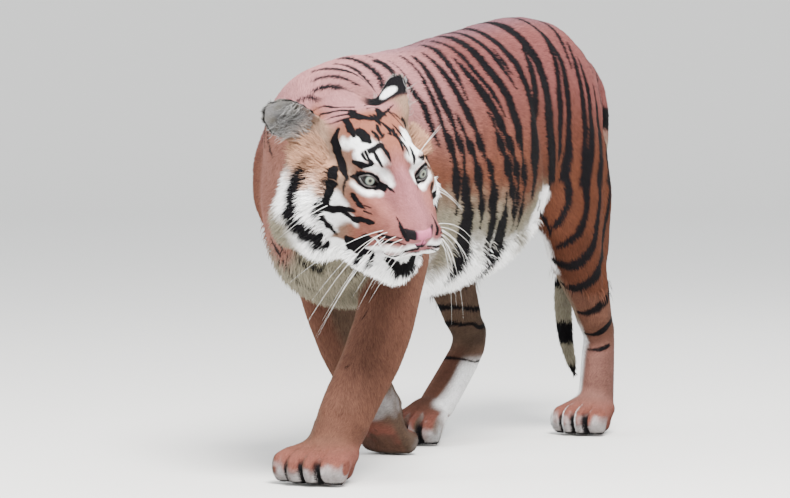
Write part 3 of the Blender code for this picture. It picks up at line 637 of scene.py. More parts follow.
def trunk_ink(points, seed):
    """The stripes; the right flank has the left one's moved a little, and meets it over the spine."""
    x, y, z = points.T
    angle = np.degrees(np.arctan2(z - CORE_Z, np.abs(x - SPINE_X)))
    radius = np.hypot(x - SPINE_X, z - CORE_Z)
    other = smooth_step(SPINE_X - x, 0.0, 0.06) * smooth_step(90 - angle, 0, 50)
    y = y + other * (0.016 * np.sin(9.0 * y + 1.0) + 0.008 * np.sin(31.0 * y))
    wander = value_noise(points, 0.050, seed) - 0.5
    y = y + 0.006 * wander
    ink = np.zeros(len(points))
    for stripe in STRIPES:
        row = np.array(stripe[::-1], float)
        at = np.interp(angle, row[:, 0], row[:, 1])
        lean = (np.interp(angle + 2, row[:, 0], row[:, 1]) - at) / (0.035 * np.maximum(radius, 0.05))
        half = np.interp(angle, row[:, 0], row[:, 2] / 1000, left=-0.004, right=-0.004)
        half = np.where(half > 0, 0.0014 + half * (1.24 + 0.3 * wander), half)
        over = half - np.abs(y - at) / np.sqrt(1 + lean**2)
        ink = np.maximum(ink, smooth_step(over, -0.0012, 0.0012))
    return ink


# face lines: (x, y, z in the head's axes, half width in mm), on its right side
FACE_LINES = {
    "cheek_band": (
        (-0.110, 0.091, -0.004, 8), (-0.121, 0.091, -0.031, 12), (-0.127, 0.088, -0.051, 13),
        (-0.133, 0.082, -0.078, 13), (-0.134, 0.080, -0.106, 8),
    ),
    "cheek_block": (
        (-0.088, 0.056, -0.004, 11), (-0.093, 0.044, -0.015, 13), (-0.102, 0.034, -0.037, 11),
        (-0.107, 0.034, -0.058, 10),
    ),
    "cheek_bar": (
        (-0.108, 0.036, -0.060, 7), (-0.099, 0.019, -0.058, 7), (-0.083, 0.008, -0.055, 7),
        (-0.074, -0.012, -0.050, 3),
    ),
    "cheek_curve": (
        (-0.108, 0.040, -0.060, 7), (-0.110, 0.045, -0.074, 9), (-0.105, 0.032, -0.086, 8),
        (-0.095, 0.026, -0.097, 6), (-0.083, 0.023, -0.110, 2),
    ),
    "outer_corner": (
        (-0.059, 0.100, 0.047, 4), (-0.070, 0.090, 0.032, 8), (-0.071, 0.074, 0.021, 9),
        (-0.073, 0.056, 0.010, 7), (-0.077, 0.034, 0.004, 6), (-0.080, 0.018, -0.002, 4),
    ),
    "corner_fall": ((-0.079, 0.022, 0.000, 4), (-0.081, 0.016, -0.018, 3), (-0.083, 0.010, -0.030, 1)),
    "oval_a": ((-0.042, 0.102, 0.058, 6), (-0.046, 0.080, 0.055, 8), (-0.048, 0.062, 0.050, 4)),
    "oval_b": ((-0.039, 0.066, 0.058, 7), (-0.035, 0.050, 0.054, 10), (-0.032, 0.036, 0.049, 5)),
    "zigzag": (
        (-0.020, 0.021, 0.050, 6), (-0.034, 0.021, 0.043, 7), (-0.047, 0.025, 0.037, 6),
        (-0.050, 0.011, 0.033, 5), (-0.046, 0.001, 0.032, 3),
    ),
    "brow": (
        (-0.062, 0.035, 0.018, 3), (-0.061, 0.013, 0.023, 5), (-0.055, 0.001, 0.024, 5),
        (-0.045, -0.002, 0.029, 3),
    ),
    "brow_grey": ((-0.034, 0.014, 0.041, 2.5), (-0.034, -0.001, 0.033, 4), (-0.030, -0.009, 0.024, 2)),
    "crown": ((-0.026, 0.119, 0.064, 6), (-0.018, 0.092, 0.068, 9), (-0.007, 0.079, 0.069, 5)),
    "mid_brow": ((-0.019, 0.017, 0.048, 3), (-0.016, 0.004, 0.043, 4), (-0.015, -0.008, 0.034, 2)),
    "jaw_dark": ((-0.070, 0.002, -0.122, 9), (-0.058, -0.020, -0.122, 8), (-0.046, -0.035, -0.119, 3)),
    "jaw_b": ((-0.045, -0.034, -0.118, 4), (-0.048, -0.037, -0.138, 5), (-0.050, -0.030, -0.146, 2)),
    "jaw_streak": ((-0.057, -0.021, -0.119, 4), (-0.059, -0.016, -0.143, 6), (-0.060, -0.006, -0.150, 2)),
    "lip_spots": (
        (-0.006, -0.124, -0.084, 1.2), (-0.020, -0.120, -0.086, 1.6), (-0.034, -0.110, -0.092, 1.2),
    ),
    "mid_a": ((-0.006, 0.062, 0.064, 3), (-0.010, 0.050, 0.061, 4), (-0.008, 0.036, 0.057, 2)),
    "mid_b": ((-0.020, 0.052, 0.059, 3), (-0.016, 0.040, 0.056, 3), (-0.018, 0.030, 0.053, 2)),
    "fork": ((-0.004, 0.092, 0.069, 3), (-0.002, 0.076, 0.067, 4), (0.000, 0.060, 0.063, 2)),
    "mid_dots": ((-0.020, 0.040, 0.056, 3), (-0.012, 0.034, 0.056, 2), (-0.004, 0.040, 0.058, 2)),
    "tear": ((-0.030, -0.026, -0.003, 3), (-0.025, -0.036, -0.005, 3), (-0.021, -0.046, -0.008, 1)),
    "ruff_patch": (
        (-0.137, 0.090, -0.094, 9), (-0.131, 0.073, -0.098, 14), (-0.120, 0.060, -0.106, 12),
        (-0.108, 0.050, -0.120, 14), (-0.092, 0.040, -0.130, 8),
    ),
    "lip_line": (
        (-0.082, 0.008, -0.060, 5), (-0.078, -0.008, -0.068, 6), (-0.074, -0.028, -0.058, 6),
        (-0.064, -0.056, -0.052, 4),
    ),
    "under_eye": ((-0.074, 0.000, -0.026, 5), (-0.070, -0.014, -0.036, 6), (-0.064, -0.026, -0.040, 2)),
    "dash_a": ((-0.068, -0.024, -0.034, 2), (-0.060, -0.036, -0.032, 1)),
    "dash_b": ((-0.070, -0.028, -0.042, 2), (-0.062, -0.042, -0.040, 1)),
    "pad_a": ((-0.064, -0.072, -0.064, 3), (-0.052, -0.092, -0.062, 3), (-0.036, -0.108, -0.058, 1)),
    "pad_b": ((-0.064, -0.070, -0.073, 3), (-0.052, -0.092, -0.071, 3), (-0.032, -0.112, -0.067, 1)),
    "mouth": (
        (-0.010, -0.122, -0.076, 2), (-0.034, -0.116, -0.082, 2.5), (-0.052, -0.096, -0.089, 3),
        (-0.064, -0.058, -0.101, 7), (-0.070, -0.020, -0.112, 12), (-0.076, 0.004, -0.114, 9),
    ),
    "lower_lip": (
        (-0.030, -0.058, -0.122, 6), (-0.020, -0.068, -0.131, 11), (-0.008, -0.071, -0.142, 12),
        (0.005, -0.074, -0.130, 6),
    ),
    "far_brow_a": ((-0.067, 0.123, 0.047, 1.5), (-0.046, 0.115, 0.055, 3), (-0.028, 0.100, 0.066, 3)),
    "crown_b": ((-0.094, 0.129, 0.048, 1), (-0.049, 0.142, 0.047, 2.5), (-0.028, 0.115, 0.064, 3.5)),
    "nape_b": (
        (-0.060, 0.205, 0.035, 1), (-0.035, 0.190, 0.048, 2), (-0.020, 0.160, 0.057, 2.5),
        (-0.008, 0.140, 0.063, 3),
    ),
    "wing": (
        (-0.036, -0.080, -0.032, 1), (-0.035, -0.094, -0.040, 3), (-0.031, -0.104, -0.050, 4),
        (-0.026, -0.110, -0.058, 4),
    ),
    "nape": (
        (-0.060, 0.172, 0.034, 1.5), (-0.047, 0.179, 0.037, 2.5), (-0.032, 0.154, 0.053, 3),
        (-0.018, 0.120, 0.066, 4),
    ),
}
# what its left side has in the place of some of the right side's lines
LEFT_ONLY = {
    "nape": ((0.012, 0.138, 0.062, 2), (0.022, 0.150, 0.058, 2), (0.034, 0.160, 0.050, 1)),
    "nape_b": ((0.006, 0.120, 0.066, 2), (0.020, 0.124, 0.064, 2), (0.036, 0.130, 0.056, 1)),
    "crown_b": ((0.026, 0.112, 0.062, 2), (0.046, 0.104, 0.056, 2.5), (0.060, 0.092, 0.046, 1)),
    "mid_brow": (
        (0.002, 0.070, 0.068, 3), (0.014, 0.049, 0.062, 3), (0.022, 0.024, 0.051, 3),
        (0.025, 0.000, 0.035, 2),
    ),
    "oval_b": ((0.026, 0.062, 0.060, 3), (0.030, 0.044, 0.054, 4), (0.030, 0.026, 0.047, 2)),
    "oval_a": ((0.040, 0.104, 0.060, 2), (0.050, 0.080, 0.050, 3), (0.056, 0.050, 0.038, 1)),
    "zigzag": ((0.012, 0.046, 0.058, 2), (0.018, 0.022, 0.050, 3), (0.014, 0.004, 0.042, 2)),
}


head_faces = faces[(soft[faces][:, :, FACE].max(axis=1) + soft[faces][:, :, EARS].max(axis=1)) > 0.05]
HEAD_TREE = BVHTree.FromPolygons(to_head(before_sculpt).tolist(), head_faces.tolist())


def on_skin(line, flip=False, tree=None):
    """The line in short steps, each brought onto the skin, of the head if no other is given."""
    row = np.array(line, float)
    if flip:
        row[:, 0] *= -1
    steps = np.linalg.norm(np.diff(row[:, :3], axis=0), axis=1)
    marks = np.concatenate(([0.0], np.cumsum(steps)))
    at = np.linspace(0, marks[-1], max(int(marks[-1] / 0.004), 2))
    dense = np.stack([np.interp(at, marks, row[:, k]) for k in range(4)], axis=1)
    for place in dense:
        place[:3] = (tree or HEAD_TREE).find_nearest(Vector(place[:3]))[0]
    return dense


def wide_line(local, row, wander):
    """How far each point is inside a line of changing width, 0 to 1."""
    steps = np.linalg.norm(np.diff(row[:, :3], axis=0), axis=1)
    marks = np.concatenate(([0.0], np.cumsum(steps))) / steps.sum()
    distance, where = along_line(local, row[:, :3])
    half = np.interp(where, marks, row[:, 3] / 1000) * (1 + 0.7 * wander)
    return smooth_step(half - distance, -0.0007, 0.0009)


def face_ink(local, seed):
    """The black lines of the face, each half with its own."""
    wander = value_noise(local, 0.009, seed) - 0.5
    bent = local + 0.0012 * wander[:, None]
    ink = np.zeros(len(local))
    for here, lines in ((bent[:, 0] < 0.012, RIGHT_LINES), (bent[:, 0] > -0.012, LEFT_LINES)):
        for line in lines:
            ink[here] = np.maximum(ink[here], wide_line(bent[here], line, wander[here]))
    return ink


RIGHT_LINES = [on_skin(line) for line in FACE_LINES.values()]
LEFT_LINES = [
    on_skin(LEFT_ONLY.get(name, line), flip=name not in LEFT_ONLY) for name, line in FACE_LINES.items()
]
WHITE_LINES = {
    "under_lid": (
        (-0.072, 0.006, -0.010, 2.5), (-0.062, -0.004, -0.015, 3.5), (-0.050, -0.014, -0.018, 4),
        (-0.038, -0.022, -0.018, 3),
    ),
    "over_lid": (
        (-0.056, 0.002, 0.021, 4), (-0.044, -0.006, 0.022, 6), (-0.034, -0.012, 0.017, 7),
        (-0.027, -0.022, 0.010, 6), (-0.023, -0.032, 0.003, 3),
    ),
    "brow": ((-0.058, 0.028, 0.034, 7), (-0.044, 0.014, 0.036, 8), (-0.030, 0.004, 0.036, 6)),
    "brow_white": (
        (-0.058, 0.036, 0.030, 7), (-0.048, 0.020, 0.036, 11), (-0.036, 0.008, 0.038, 11),
        (-0.028, -0.004, 0.034, 8),
    ),
    "forehead": ((-0.054, 0.056, 0.044, 10), (-0.042, 0.040, 0.046, 11), (-0.030, 0.024, 0.046, 9)),
    "lip_band": (
        (-0.014, -0.122, -0.070, 2), (-0.034, -0.112, -0.075, 3), (-0.052, -0.090, -0.081, 3.5),
        (-0.062, -0.062, -0.087, 3),
    ),
    "temple": ((-0.062, 0.070, 0.036, 7), (-0.056, 0.056, 0.040, 7)),
    "cheek_a": ((-0.112, 0.060, -0.052, 9), (-0.116, 0.056, -0.072, 12)),
    "cheek_b": ((-0.090, 0.022, -0.038, 8), (-0.078, 0.010, -0.044, 4)),
    "cheek_c": ((-0.104, 0.030, -0.072, 8), (-0.090, 0.006, -0.068, 9), (-0.080, -0.012, -0.072, 6)),
}
WHITE_SKIN = [[on_skin(line, flip) for line in WHITE_LINES.values()] for flip in (False, True)]


def white_share(local, wander):
    """How white the face is round the eyes, lips and cheeks."""
    share = np.zeros(len(local))
    for side, lines in zip((-1, 1), WHITE_SKIN):
        here = local[:, 0] * side > -0.01
        for row in lines:
            distance, where = along_line(local[here], row[:, :3])
            half = np.interp(where, np.linspace(0, 1, len(row)), row[:, 3] / 1000) * (1 + 0.4 * wander[here])
            over = smooth_step(half - distance + 0.005 * wander[here], -0.0080, 0.0050)
            share[here] = np.maximum(share[here], over)
    return share


def lid_ink(local):
    """Black round each opening, drawn out to its corners."""
    ink = np.zeros(len(local))
    for side, centre in EYES.items():
        axes = eye_frame(side) @ HEAD_AXES.T
        away = local - to_head(centre)
        a, b, depth = away @ axes[0], away @ axes[1], away @ axes[2]
        near = (np.linalg.norm(away, axis=1) < 0.040) & (depth > 0)
        broad = 0.0040 + 0.0026 * smooth_step(np.abs(a), 0.006, 0.016)
        ring = smooth_step(broad - opening(a, b), -0.0008, 0.0008)
        inner = np.hypot((a + 0.0235) / 2.0, b + 0.0052 - 0.25 * (a + 0.0235))
        tear = smooth_step(0.0040 - inner, -0.001, 0.001)
        outer = smooth_step(0.0036 - np.hypot((a - 0.0205) / 2.0, b - 0.0010), -0.001, 0.001)
        ink = np.maximum(ink, near * np.maximum(ring, np.maximum(tear, outer)))
    return ink


EAR_BACKS = {
    "left": unit(np.array((0.45, -0.88, 0.15))),
    "right": unit(np.array((-0.50, 0.80, 0.10))),
}
SKULL = HEAD_ORIGIN + np.array((0, 0.08, 0.0)) @ HEAD_AXES
EAR_FEET = {side: unit(SKULL - middle("ear_" + side)) for side in EYES}
EAR_SPOTS = {side: EAR_BACKS[side] * 0.010 - EAR_FEET[side] * 0.013 for side in EYES}


# colours, in linear light
# partly painted highlight: the coat's orange made lighter and pinker where the top of the back and the nape catch the
# light
HIGHLIT_SALMON = np.array((0.255, 0.115, 0.118))
# the top further back, with less of the painted highlight
BACK = np.array((0.136, 0.046, 0.043))
ORANGE = np.array((0.09, 0.032, 0.018))
RUST = np.array((0.036, 0.0105, 0.0045))
LEG_TAN = np.array((0.118, 0.055, 0.038))
PAW_TAN = np.array((0.150, 0.054, 0.040))
TAN = np.array((0.195, 0.072, 0.047))
PEACH = np.array((0.4, 0.215, 0.135))
CREAM = np.array((0.165, 0.148, 0.108))
WHITE = np.array((0.895, 0.900, 0.905))
INK = np.array((0.0030, 0.0026, 0.0034))
# painted sheen: a bluish-grey reflection laid along the spine over the shoulders
PAINTED_SHEEN_BLUE = np.array((0.065, 0.072, 0.112))
ROSE = np.array((0.220, 0.085, 0.094))
GREY = np.array((0.150, 0.148, 0.150))
NECK = np.array((0.175, 0.078, 0.060))
SHIN = np.array((0.132, 0.062, 0.050))
# painted shade: the dark brown that the far (right) legs take in their shadow
FAR_LEG_SHADE = np.array((0.062, 0.040, 0.028))


# lines on the body that the flank's rows leave out: (x, y, z, half width in mm)
BODY_MARKS = (
    # arcs over the nape
    ((-0.047, -0.293, 0.713, 10), (-0.013, -0.302, 0.692, 8.5), (0.010, -0.318, 0.655, 3.5)),
    (
        (-0.100, -0.326, 0.718, 10), (-0.050, -0.332, 0.708, 10), (-0.011, -0.350, 0.683, 7),
        (0.012, -0.372, 0.650, 3.5),
    ),
    (
        (-0.080, -0.385, 0.714, 5), (-0.040, -0.380, 0.706, 8.5), (0.000, -0.392, 0.680, 7),
        (0.018, -0.405, 0.655, 1.5),
    ),
    (
        (-0.060, -0.500, 0.694, 5), (-0.025, -0.474, 0.699, 10), (-0.005, -0.440, 0.690, 10),
        (0.012, -0.424, 0.668, 5),
    ),
    (
        (-0.042, -0.535, 0.680, 3.5), (-0.021, -0.516, 0.688, 6), (0.001, -0.498, 0.685, 7),
        (0.022, -0.484, 0.672, 3.5),
    ),
    (
        (-0.030, -0.560, 0.664, 3.5), (-0.010, -0.547, 0.670, 7.5), (0.008, -0.535, 0.670, 7.5),
        (0.038, -0.513, 0.656, 3.5),
    ),
    ((-0.058, -0.566, 0.645, 1.5), (-0.045, -0.571, 0.650, 5), (-0.029, -0.571, 0.653, 3.5)),
    (
        (-0.033, -0.568, 0.655, 3.5), (-0.008, -0.577, 0.648, 6), (0.020, -0.578, 0.645, 6),
        (0.052, -0.567, 0.642, 5), (0.066, -0.536, 0.636, 3.5),
    ),
    # throat
    (
        (-0.060, -0.574, 0.396, 2), (-0.039, -0.565, 0.376, 7), (-0.015, -0.555, 0.366, 7),
        (0.012, -0.549, 0.369, 2),
    ),
    (
        (-0.150, -0.496, 0.408, 2), (-0.115, -0.530, 0.386, 8), (-0.089, -0.517, 0.347, 7),
        (-0.056, -0.480, 0.322, 2),
    ),
    ((-0.128, -0.500, 0.430, 2), (-0.098, -0.548, 0.402, 6), (-0.075, -0.552, 0.372, 2)),
    ((0.060, -0.500, 0.352, 2), (0.030, -0.500, 0.338, 7), (0.000, -0.500, 0.334, 2)),
    # fold of the flank
    ((0.032, 0.196, 0.456, 5), (0.026, 0.206, 0.442, 5)),
    ((0.011, 0.246, 0.434, 2), (0.000, 0.282, 0.408, 4), (0.002, 0.292, 0.385, 2)),
    # left thigh and shank
    ((0.049, 0.300, 0.488, 9), (0.045, 0.299, 0.450, 8), (0.026, 0.291, 0.414, 7), (0.002, 0.288, 0.392, 3)),
    (
        (0.055, 0.352, 0.488, 12), (0.057, 0.350, 0.440, 11), (0.050, 0.328, 0.395, 10),
        (0.014, 0.303, 0.362, 5),
    ),
    (
        (0.053, 0.418, 0.488, 10), (0.056, 0.400, 0.420, 11), (0.055, 0.385, 0.370, 14),
        (0.045, 0.360, 0.337, 14), (0.024, 0.338, 0.326, 12), (-0.008, 0.323, 0.337, 7),
    ),
    (
        (0.052, 0.484, 0.488, 8), (0.054, 0.470, 0.420, 11), (0.052, 0.450, 0.350, 14),
        (0.041, 0.413, 0.301, 16), (0.012, 0.386, 0.282, 14), (-0.026, 0.374, 0.285, 6),
    ),
    (
        (0.040, 0.556, 0.500, 7), (0.048, 0.545, 0.420, 9), (0.045, 0.525, 0.340, 10),
        (0.036, 0.502, 0.270, 12), (0.027, 0.464, 0.245, 12), (-0.012, 0.443, 0.229, 5),
    ),
    ((0.000, 0.560, 0.300, 4), (0.024, 0.540, 0.222, 7), (0.018, 0.510, 0.204, 8), (-0.018, 0.490, 0.192, 3)),
    ((0.020, 0.524, 0.169, 4), (0.004, 0.506, 0.161, 4), (-0.022, 0.507, 0.161, 1)),
    # right thigh
    (
        (-0.238, 0.292, 0.490, 8), (-0.238, 0.285, 0.430, 7), (-0.225, 0.262, 0.385, 5),
        (-0.205, 0.250, 0.360, 1),
    ),
    (
        (-0.238, 0.346, 0.490, 11), (-0.238, 0.335, 0.420, 9), (-0.236, 0.305, 0.370, 9),
        (-0.225, 0.275, 0.330, 6), (-0.200, 0.262, 0.325, 1),
    ),
    (
        (-0.232, 0.412, 0.490, 10), (-0.236, 0.390, 0.400, 10), (-0.238, 0.355, 0.340, 10),
        (-0.232, 0.315, 0.300, 8), (-0.205, 0.300, 0.290, 2),
    ),
    (
        (-0.228, 0.478, 0.490, 8), (-0.230, 0.440, 0.400, 8), (-0.225, 0.400, 0.320, 8),
        (-0.222, 0.360, 0.270, 6),
    ),
    # foreleg
    ((0.020, -0.470, 0.300, 0), (0.004, -0.486, 0.290, 1.5), (-0.008, -0.480, 0.284, 0)),
    ((0.010, -0.520, 0.205, 0.5), (0.004, -0.520, 0.202, 2)),
)
BODY_TREE = BVHTree.FromPolygons(before_sculpt.tolist(), faces.tolist())
BODY_LINES = [on_skin(line, tree=BODY_TREE) for line in BODY_MARKS]


def body_lines(points, wander, soft):
    """The lines of BODY_MARKS, kept off the face."""
    ink = np.zeros(len(points))
    for row in BODY_LINES:
        middle_of, reach = row[:, :3].mean(axis=0), np.ptp(row[:, :3], axis=0) / 2 + 0.05
        near = (np.abs(points - middle_of) < reach).all(axis=1)
        if near.any():
            distance, where = along_line(points[near], row[:, :3])
            half = np.interp(where, np.linspace(0, 1, len(row)), row[:, 3] / 1000) * (1 + 0.35 * wander[near])
            over = smooth_step(half - distance, -0.0012, 0.0012) * (1 - soft[near, FACE])
            ink[near] = np.maximum(ink[near], over)
    return ink


def leg_bands(points, normals, kind, seed):
    """Rings round the right hind leg, widest outside and behind."""
    x, y, z = points.T
    ink = np.zeros(len(points))
    wander = value_noise(points, 0.03, seed) - 0.5
    left = x > SPINE_X
    outward = np.where(left, normals[:, 0], -normals[:, 0])
    level = np.where(left, z - 0.42 * (y - 0.42), z + 0.10 * (y - 0.20)) + 0.010 * wander
    wrap = np.clip(0.62 + 0.45 * outward + 0.35 * normals[:, 1], 0.0, 1.0)
    for at, half in ((0.258, 9), (0.226, 8), (0.158, 4)):
        over = half / 1000 * (0.45 + 0.55 * wrap) - np.abs(level - at)
        ink = np.maximum(ink, smooth_step(over, -0.001, 0.001) * ~left)
    return ink * smooth_step(0.352 - z, 0.0, 0.02) * kind


def face_colours(local, fine):
    """The face without its lines."""
    lx, ly, lz = local.T
    ax = np.abs(lx)
    mirror = np.stack((ax, ly, lz), axis=1)
    face = mix(TAN, ROSE, bell(ax, 0.050) * smooth_step(-ly, -0.02, 0.03))
    face = mix(face, CREAM, 0.55 * smooth_step(ly, -0.02, 0.03) * smooth_step(ax, 0.045, 0.075))

    def patch(face, colour, centre, size, strength=1.0):
        gap = np.linalg.norm((mirror - centre) / size, axis=1) + 0.5 * fine
        return mix(face, colour, strength * smooth_step(1.25 - gap, 0.0, 0.45))

    face = patch(face, WHITE, (0.122, 0.064, -0.070), (0.052, 0.074, 0.052))
    face = patch(face, PEACH, (0.108, 0.072, -0.018), (0.036, 0.046, 0.036), 0.9)
    lip = np.interp(ly, (-0.122, -0.096, -0.058, -0.020, 0.020), (-0.078, -0.090, -0.102, -0.112, -0.115))
    below_lip = smooth_step(lip - lz + 0.003 * fine, -0.001, 0.004)
    face = mix(face, WHITE, below_lip * smooth_step(0.11 - ly, 0, 0.04))
    face = mix(face, CREAM, smooth_step(ly, 0.055, 0.10) * smooth_step(-lz, 0.085, 0.12))
    nape = smooth_step(ly, 0.095, 0.130) * smooth_step(lz, 0.030, 0.050) * smooth_step(0.072 - ax, 0.0, 0.020)
    # the nape takes the back's painted highlight
    face = mix(face, HIGHLIT_SALMON, nape)
    face = mix(face, WHITE, white_share(local, fine))
    face = mix(face, RUST, 0.7 * bell(ly + 0.03, 0.04) * bell(ax - 0.022, 0.012) * smooth_step(lz, 0.0, 0.02))
    # painted shade: black in the opening at the foot of each ear
    ear_well_shade = np.linalg.norm(mirror - (0.118, 0.131, 0.010), axis=1)
    face = mix(face, INK, 0.85 * smooth_step(0.016 - ear_well_shade, 0.0, 0.008))
    return face


def ear_colours(side, points, normals, fine):
    """Grey-white in front with tan towards the head and painted shade in its hollow; black behind with a white spot.
    """
    centre = middle("ear_" + side)
    away = points - centre
    back = EAR_BACKS[side]
    behind = smooth_step(normals @ back, -0.05, 0.25)
    rim = smooth_step(np.linalg.norm(away - np.outer(away @ back, back), axis=1), 0.024, 0.036)
    ear = mix(GREY * 1.8, CREAM, np.clip(0.25 + fine, 0, 1))
    toward = smooth_step(away @ EAR_FEET[side], -0.010, 0.014)
    ear = mix(ear, PEACH * 0.8, 0.8 * rim * toward * np.clip(0.8 + fine, 0, 1))
    # painted shade: black deep in the ear's cup
    hollow = bell(np.linalg.norm(away - EAR_FEET[side] * 0.018, axis=1), 0.020)
    ear = mix(ear, INK, np.clip(1.5 * hollow, 0, 0.92) * (1 - behind))
    beyond = away - EAR_SPOTS[side]
    spot = np.sqrt((beyond**2).sum(axis=1) + 1.3 * (beyond @ EAR_FEET[side]) ** 2)
    spot = smooth_step(0.0185 - spot, -0.003, 0.003)
    ear = mix(ear, mix(INK, WHITE, spot), behind)
    return ear


def limb_colours(points, inner, hind, wide):
    """The legs' tan and brown, paler inside and low down, with painted shade on the far legs, and how pale each point
    is.
    """
    x, _, z = points.T
    legs_tone = mix(LEG_TAN, RUST, 0.45 * np.clip(wide + 0.5, 0, 1))
    pale = smooth_step(inner + 0.3 * wide, 0.35, 0.80)
    pale = pale * smooth_step(0.46 - z, 0.0, 0.06)
    low = smooth_step(0.23 - z, 0.0, 0.06)
    low = np.where(x < SPINE_X, smooth_step(0.160 - z + 0.02 * wide, 0.0, 0.025), low)
    legs_tone = mix(legs_tone, CREAM, pale * np.where(x < SPINE_X, 0.15, 0.12 + 0.35 * hind))
    legs_tone = mix(legs_tone, WHITE, 0.85 * pale * hind * low)
    # painted shade on the right hind leg from just above its foot, and on the right foreleg's pale inner side
    legs_tone = mix(legs_tone, FAR_LEG_SHADE, 0.92 * hind * smooth_step(z, 0.14, 0.19) * (x < SPINE_X))
    legs_tone = mix(legs_tone, FAR_LEG_SHADE, 0.82 * (1 - hind) * pale * (x < SPINE_X))
    legs_tone = mix(legs_tone, SHIN, hind * (1 - pale) * smooth_step(0.20 - z, 0.0, 0.05) * (x > SPINE_X))
    return legs_tone, pale


def paw_colours(tone, points, soft, pale, wide, fine):
    """Tan paws with whitish toe tips and painted shade in the gaps between the toes; the lifted one grey-white above,
    with painted shade at its low toes.
    """
    x, y, z = points.T
    gap, onto = toe_lanes(points)
    paw_share = smooth_step(soft[:, PAWS], 0.3, 0.6)
    tone = mix(tone, PAW_TAN, paw_share * smooth_step(0.075 - z, 0.0, 0.03) * (1 - pale))
    toe_tips = smooth_step(0.030 - z + 0.030 * fine + 0.01 * wide, -0.010, 0.016)
    tone = mix(tone, WHITE * 0.38, 0.75 * paw_share * onto * toe_tips)
    # painted shade in the gaps between the toes; below 1 cm the soles' own black
    between = smooth_step(gap, 0.02, 0.30) * smooth_step(0.050 - z, 0.0, 0.020) * 1.2
    dark = np.maximum(smooth_step(0.010 - z, 0.0, 0.004), between)
    tone = mix(tone, INK, np.clip(dark, 0, 1) * paw_share)
    lifted = np.linalg.norm((points - (-0.150, -0.100, 0.095)) / (0.050, 0.050, 0.030), axis=1) + 0.6 * fine
    tone = mix(tone, GREY * 2.0, 0.6 * paw_share * smooth_step(1.2 - lifted, 0.0, 0.9))
    # painted shade on the low toes of the lifted far foreleg
    lifted_toe_shade = smooth_step(0.046 - z + 0.03 * fine, 0.0, 0.02) * (x < -0.09) * (y > -0.15) * (y < 0.0)
    return mix(tone, FAR_LEG_SHADE, 0.75 * paw_share * lifted_toe_shade)


def body_ink(points, normals, soft, angle, thigh, wide, fine):
    """Black of the trunk, the lines of BODY_MARKS, the leg's bands, the fold's spot, and the tail's rings and tip."""
    y, z = points[:, 1], points[:, 2]
    hind = smooth_step(y, 0.10, 0.20)
    ink = trunk_ink(points, 7) * smooth_step(z, 0.300, 0.340) * (1 - soft[:, TAIL]) * (1 - soft[:, PAWS])
    ink *= 1 - np.clip(soft[:, LEGS], 0, 1) * (1 - hind)
    ink *= 1 - soft[:, FACE]
    ink *= 1 - smooth_step(y, 0.235, 0.265) * smooth_step(-24 - angle, 0, 4)
    nape = smooth_step(-y, 0.290, 0.310) * smooth_step(z, 0.615, 0.650)
    ink *= 1 - nape
    ink = np.maximum(ink, body_lines(points, fine, soft))
    ink = np.maximum(ink, leg_bands(points, normals, np.clip(thigh, 0, 1) * hind, 9))
    spot = smooth_step(0.010 - np.linalg.norm(points - (0.028, 0.203, 0.444), axis=1), -0.002, 0.002)
    ink = np.maximum(ink, spot)
    rings = smooth_step(np.cos((z - 0.186) * 2 * math.pi / 0.105 + 0.9 * wide), 0.20, 0.45)
    rings = np.maximum(rings, smooth_step(0.126 - z, 0.0, 0.006))
    return np.maximum(ink, rings * (soft[:, TAIL] > 0.5))


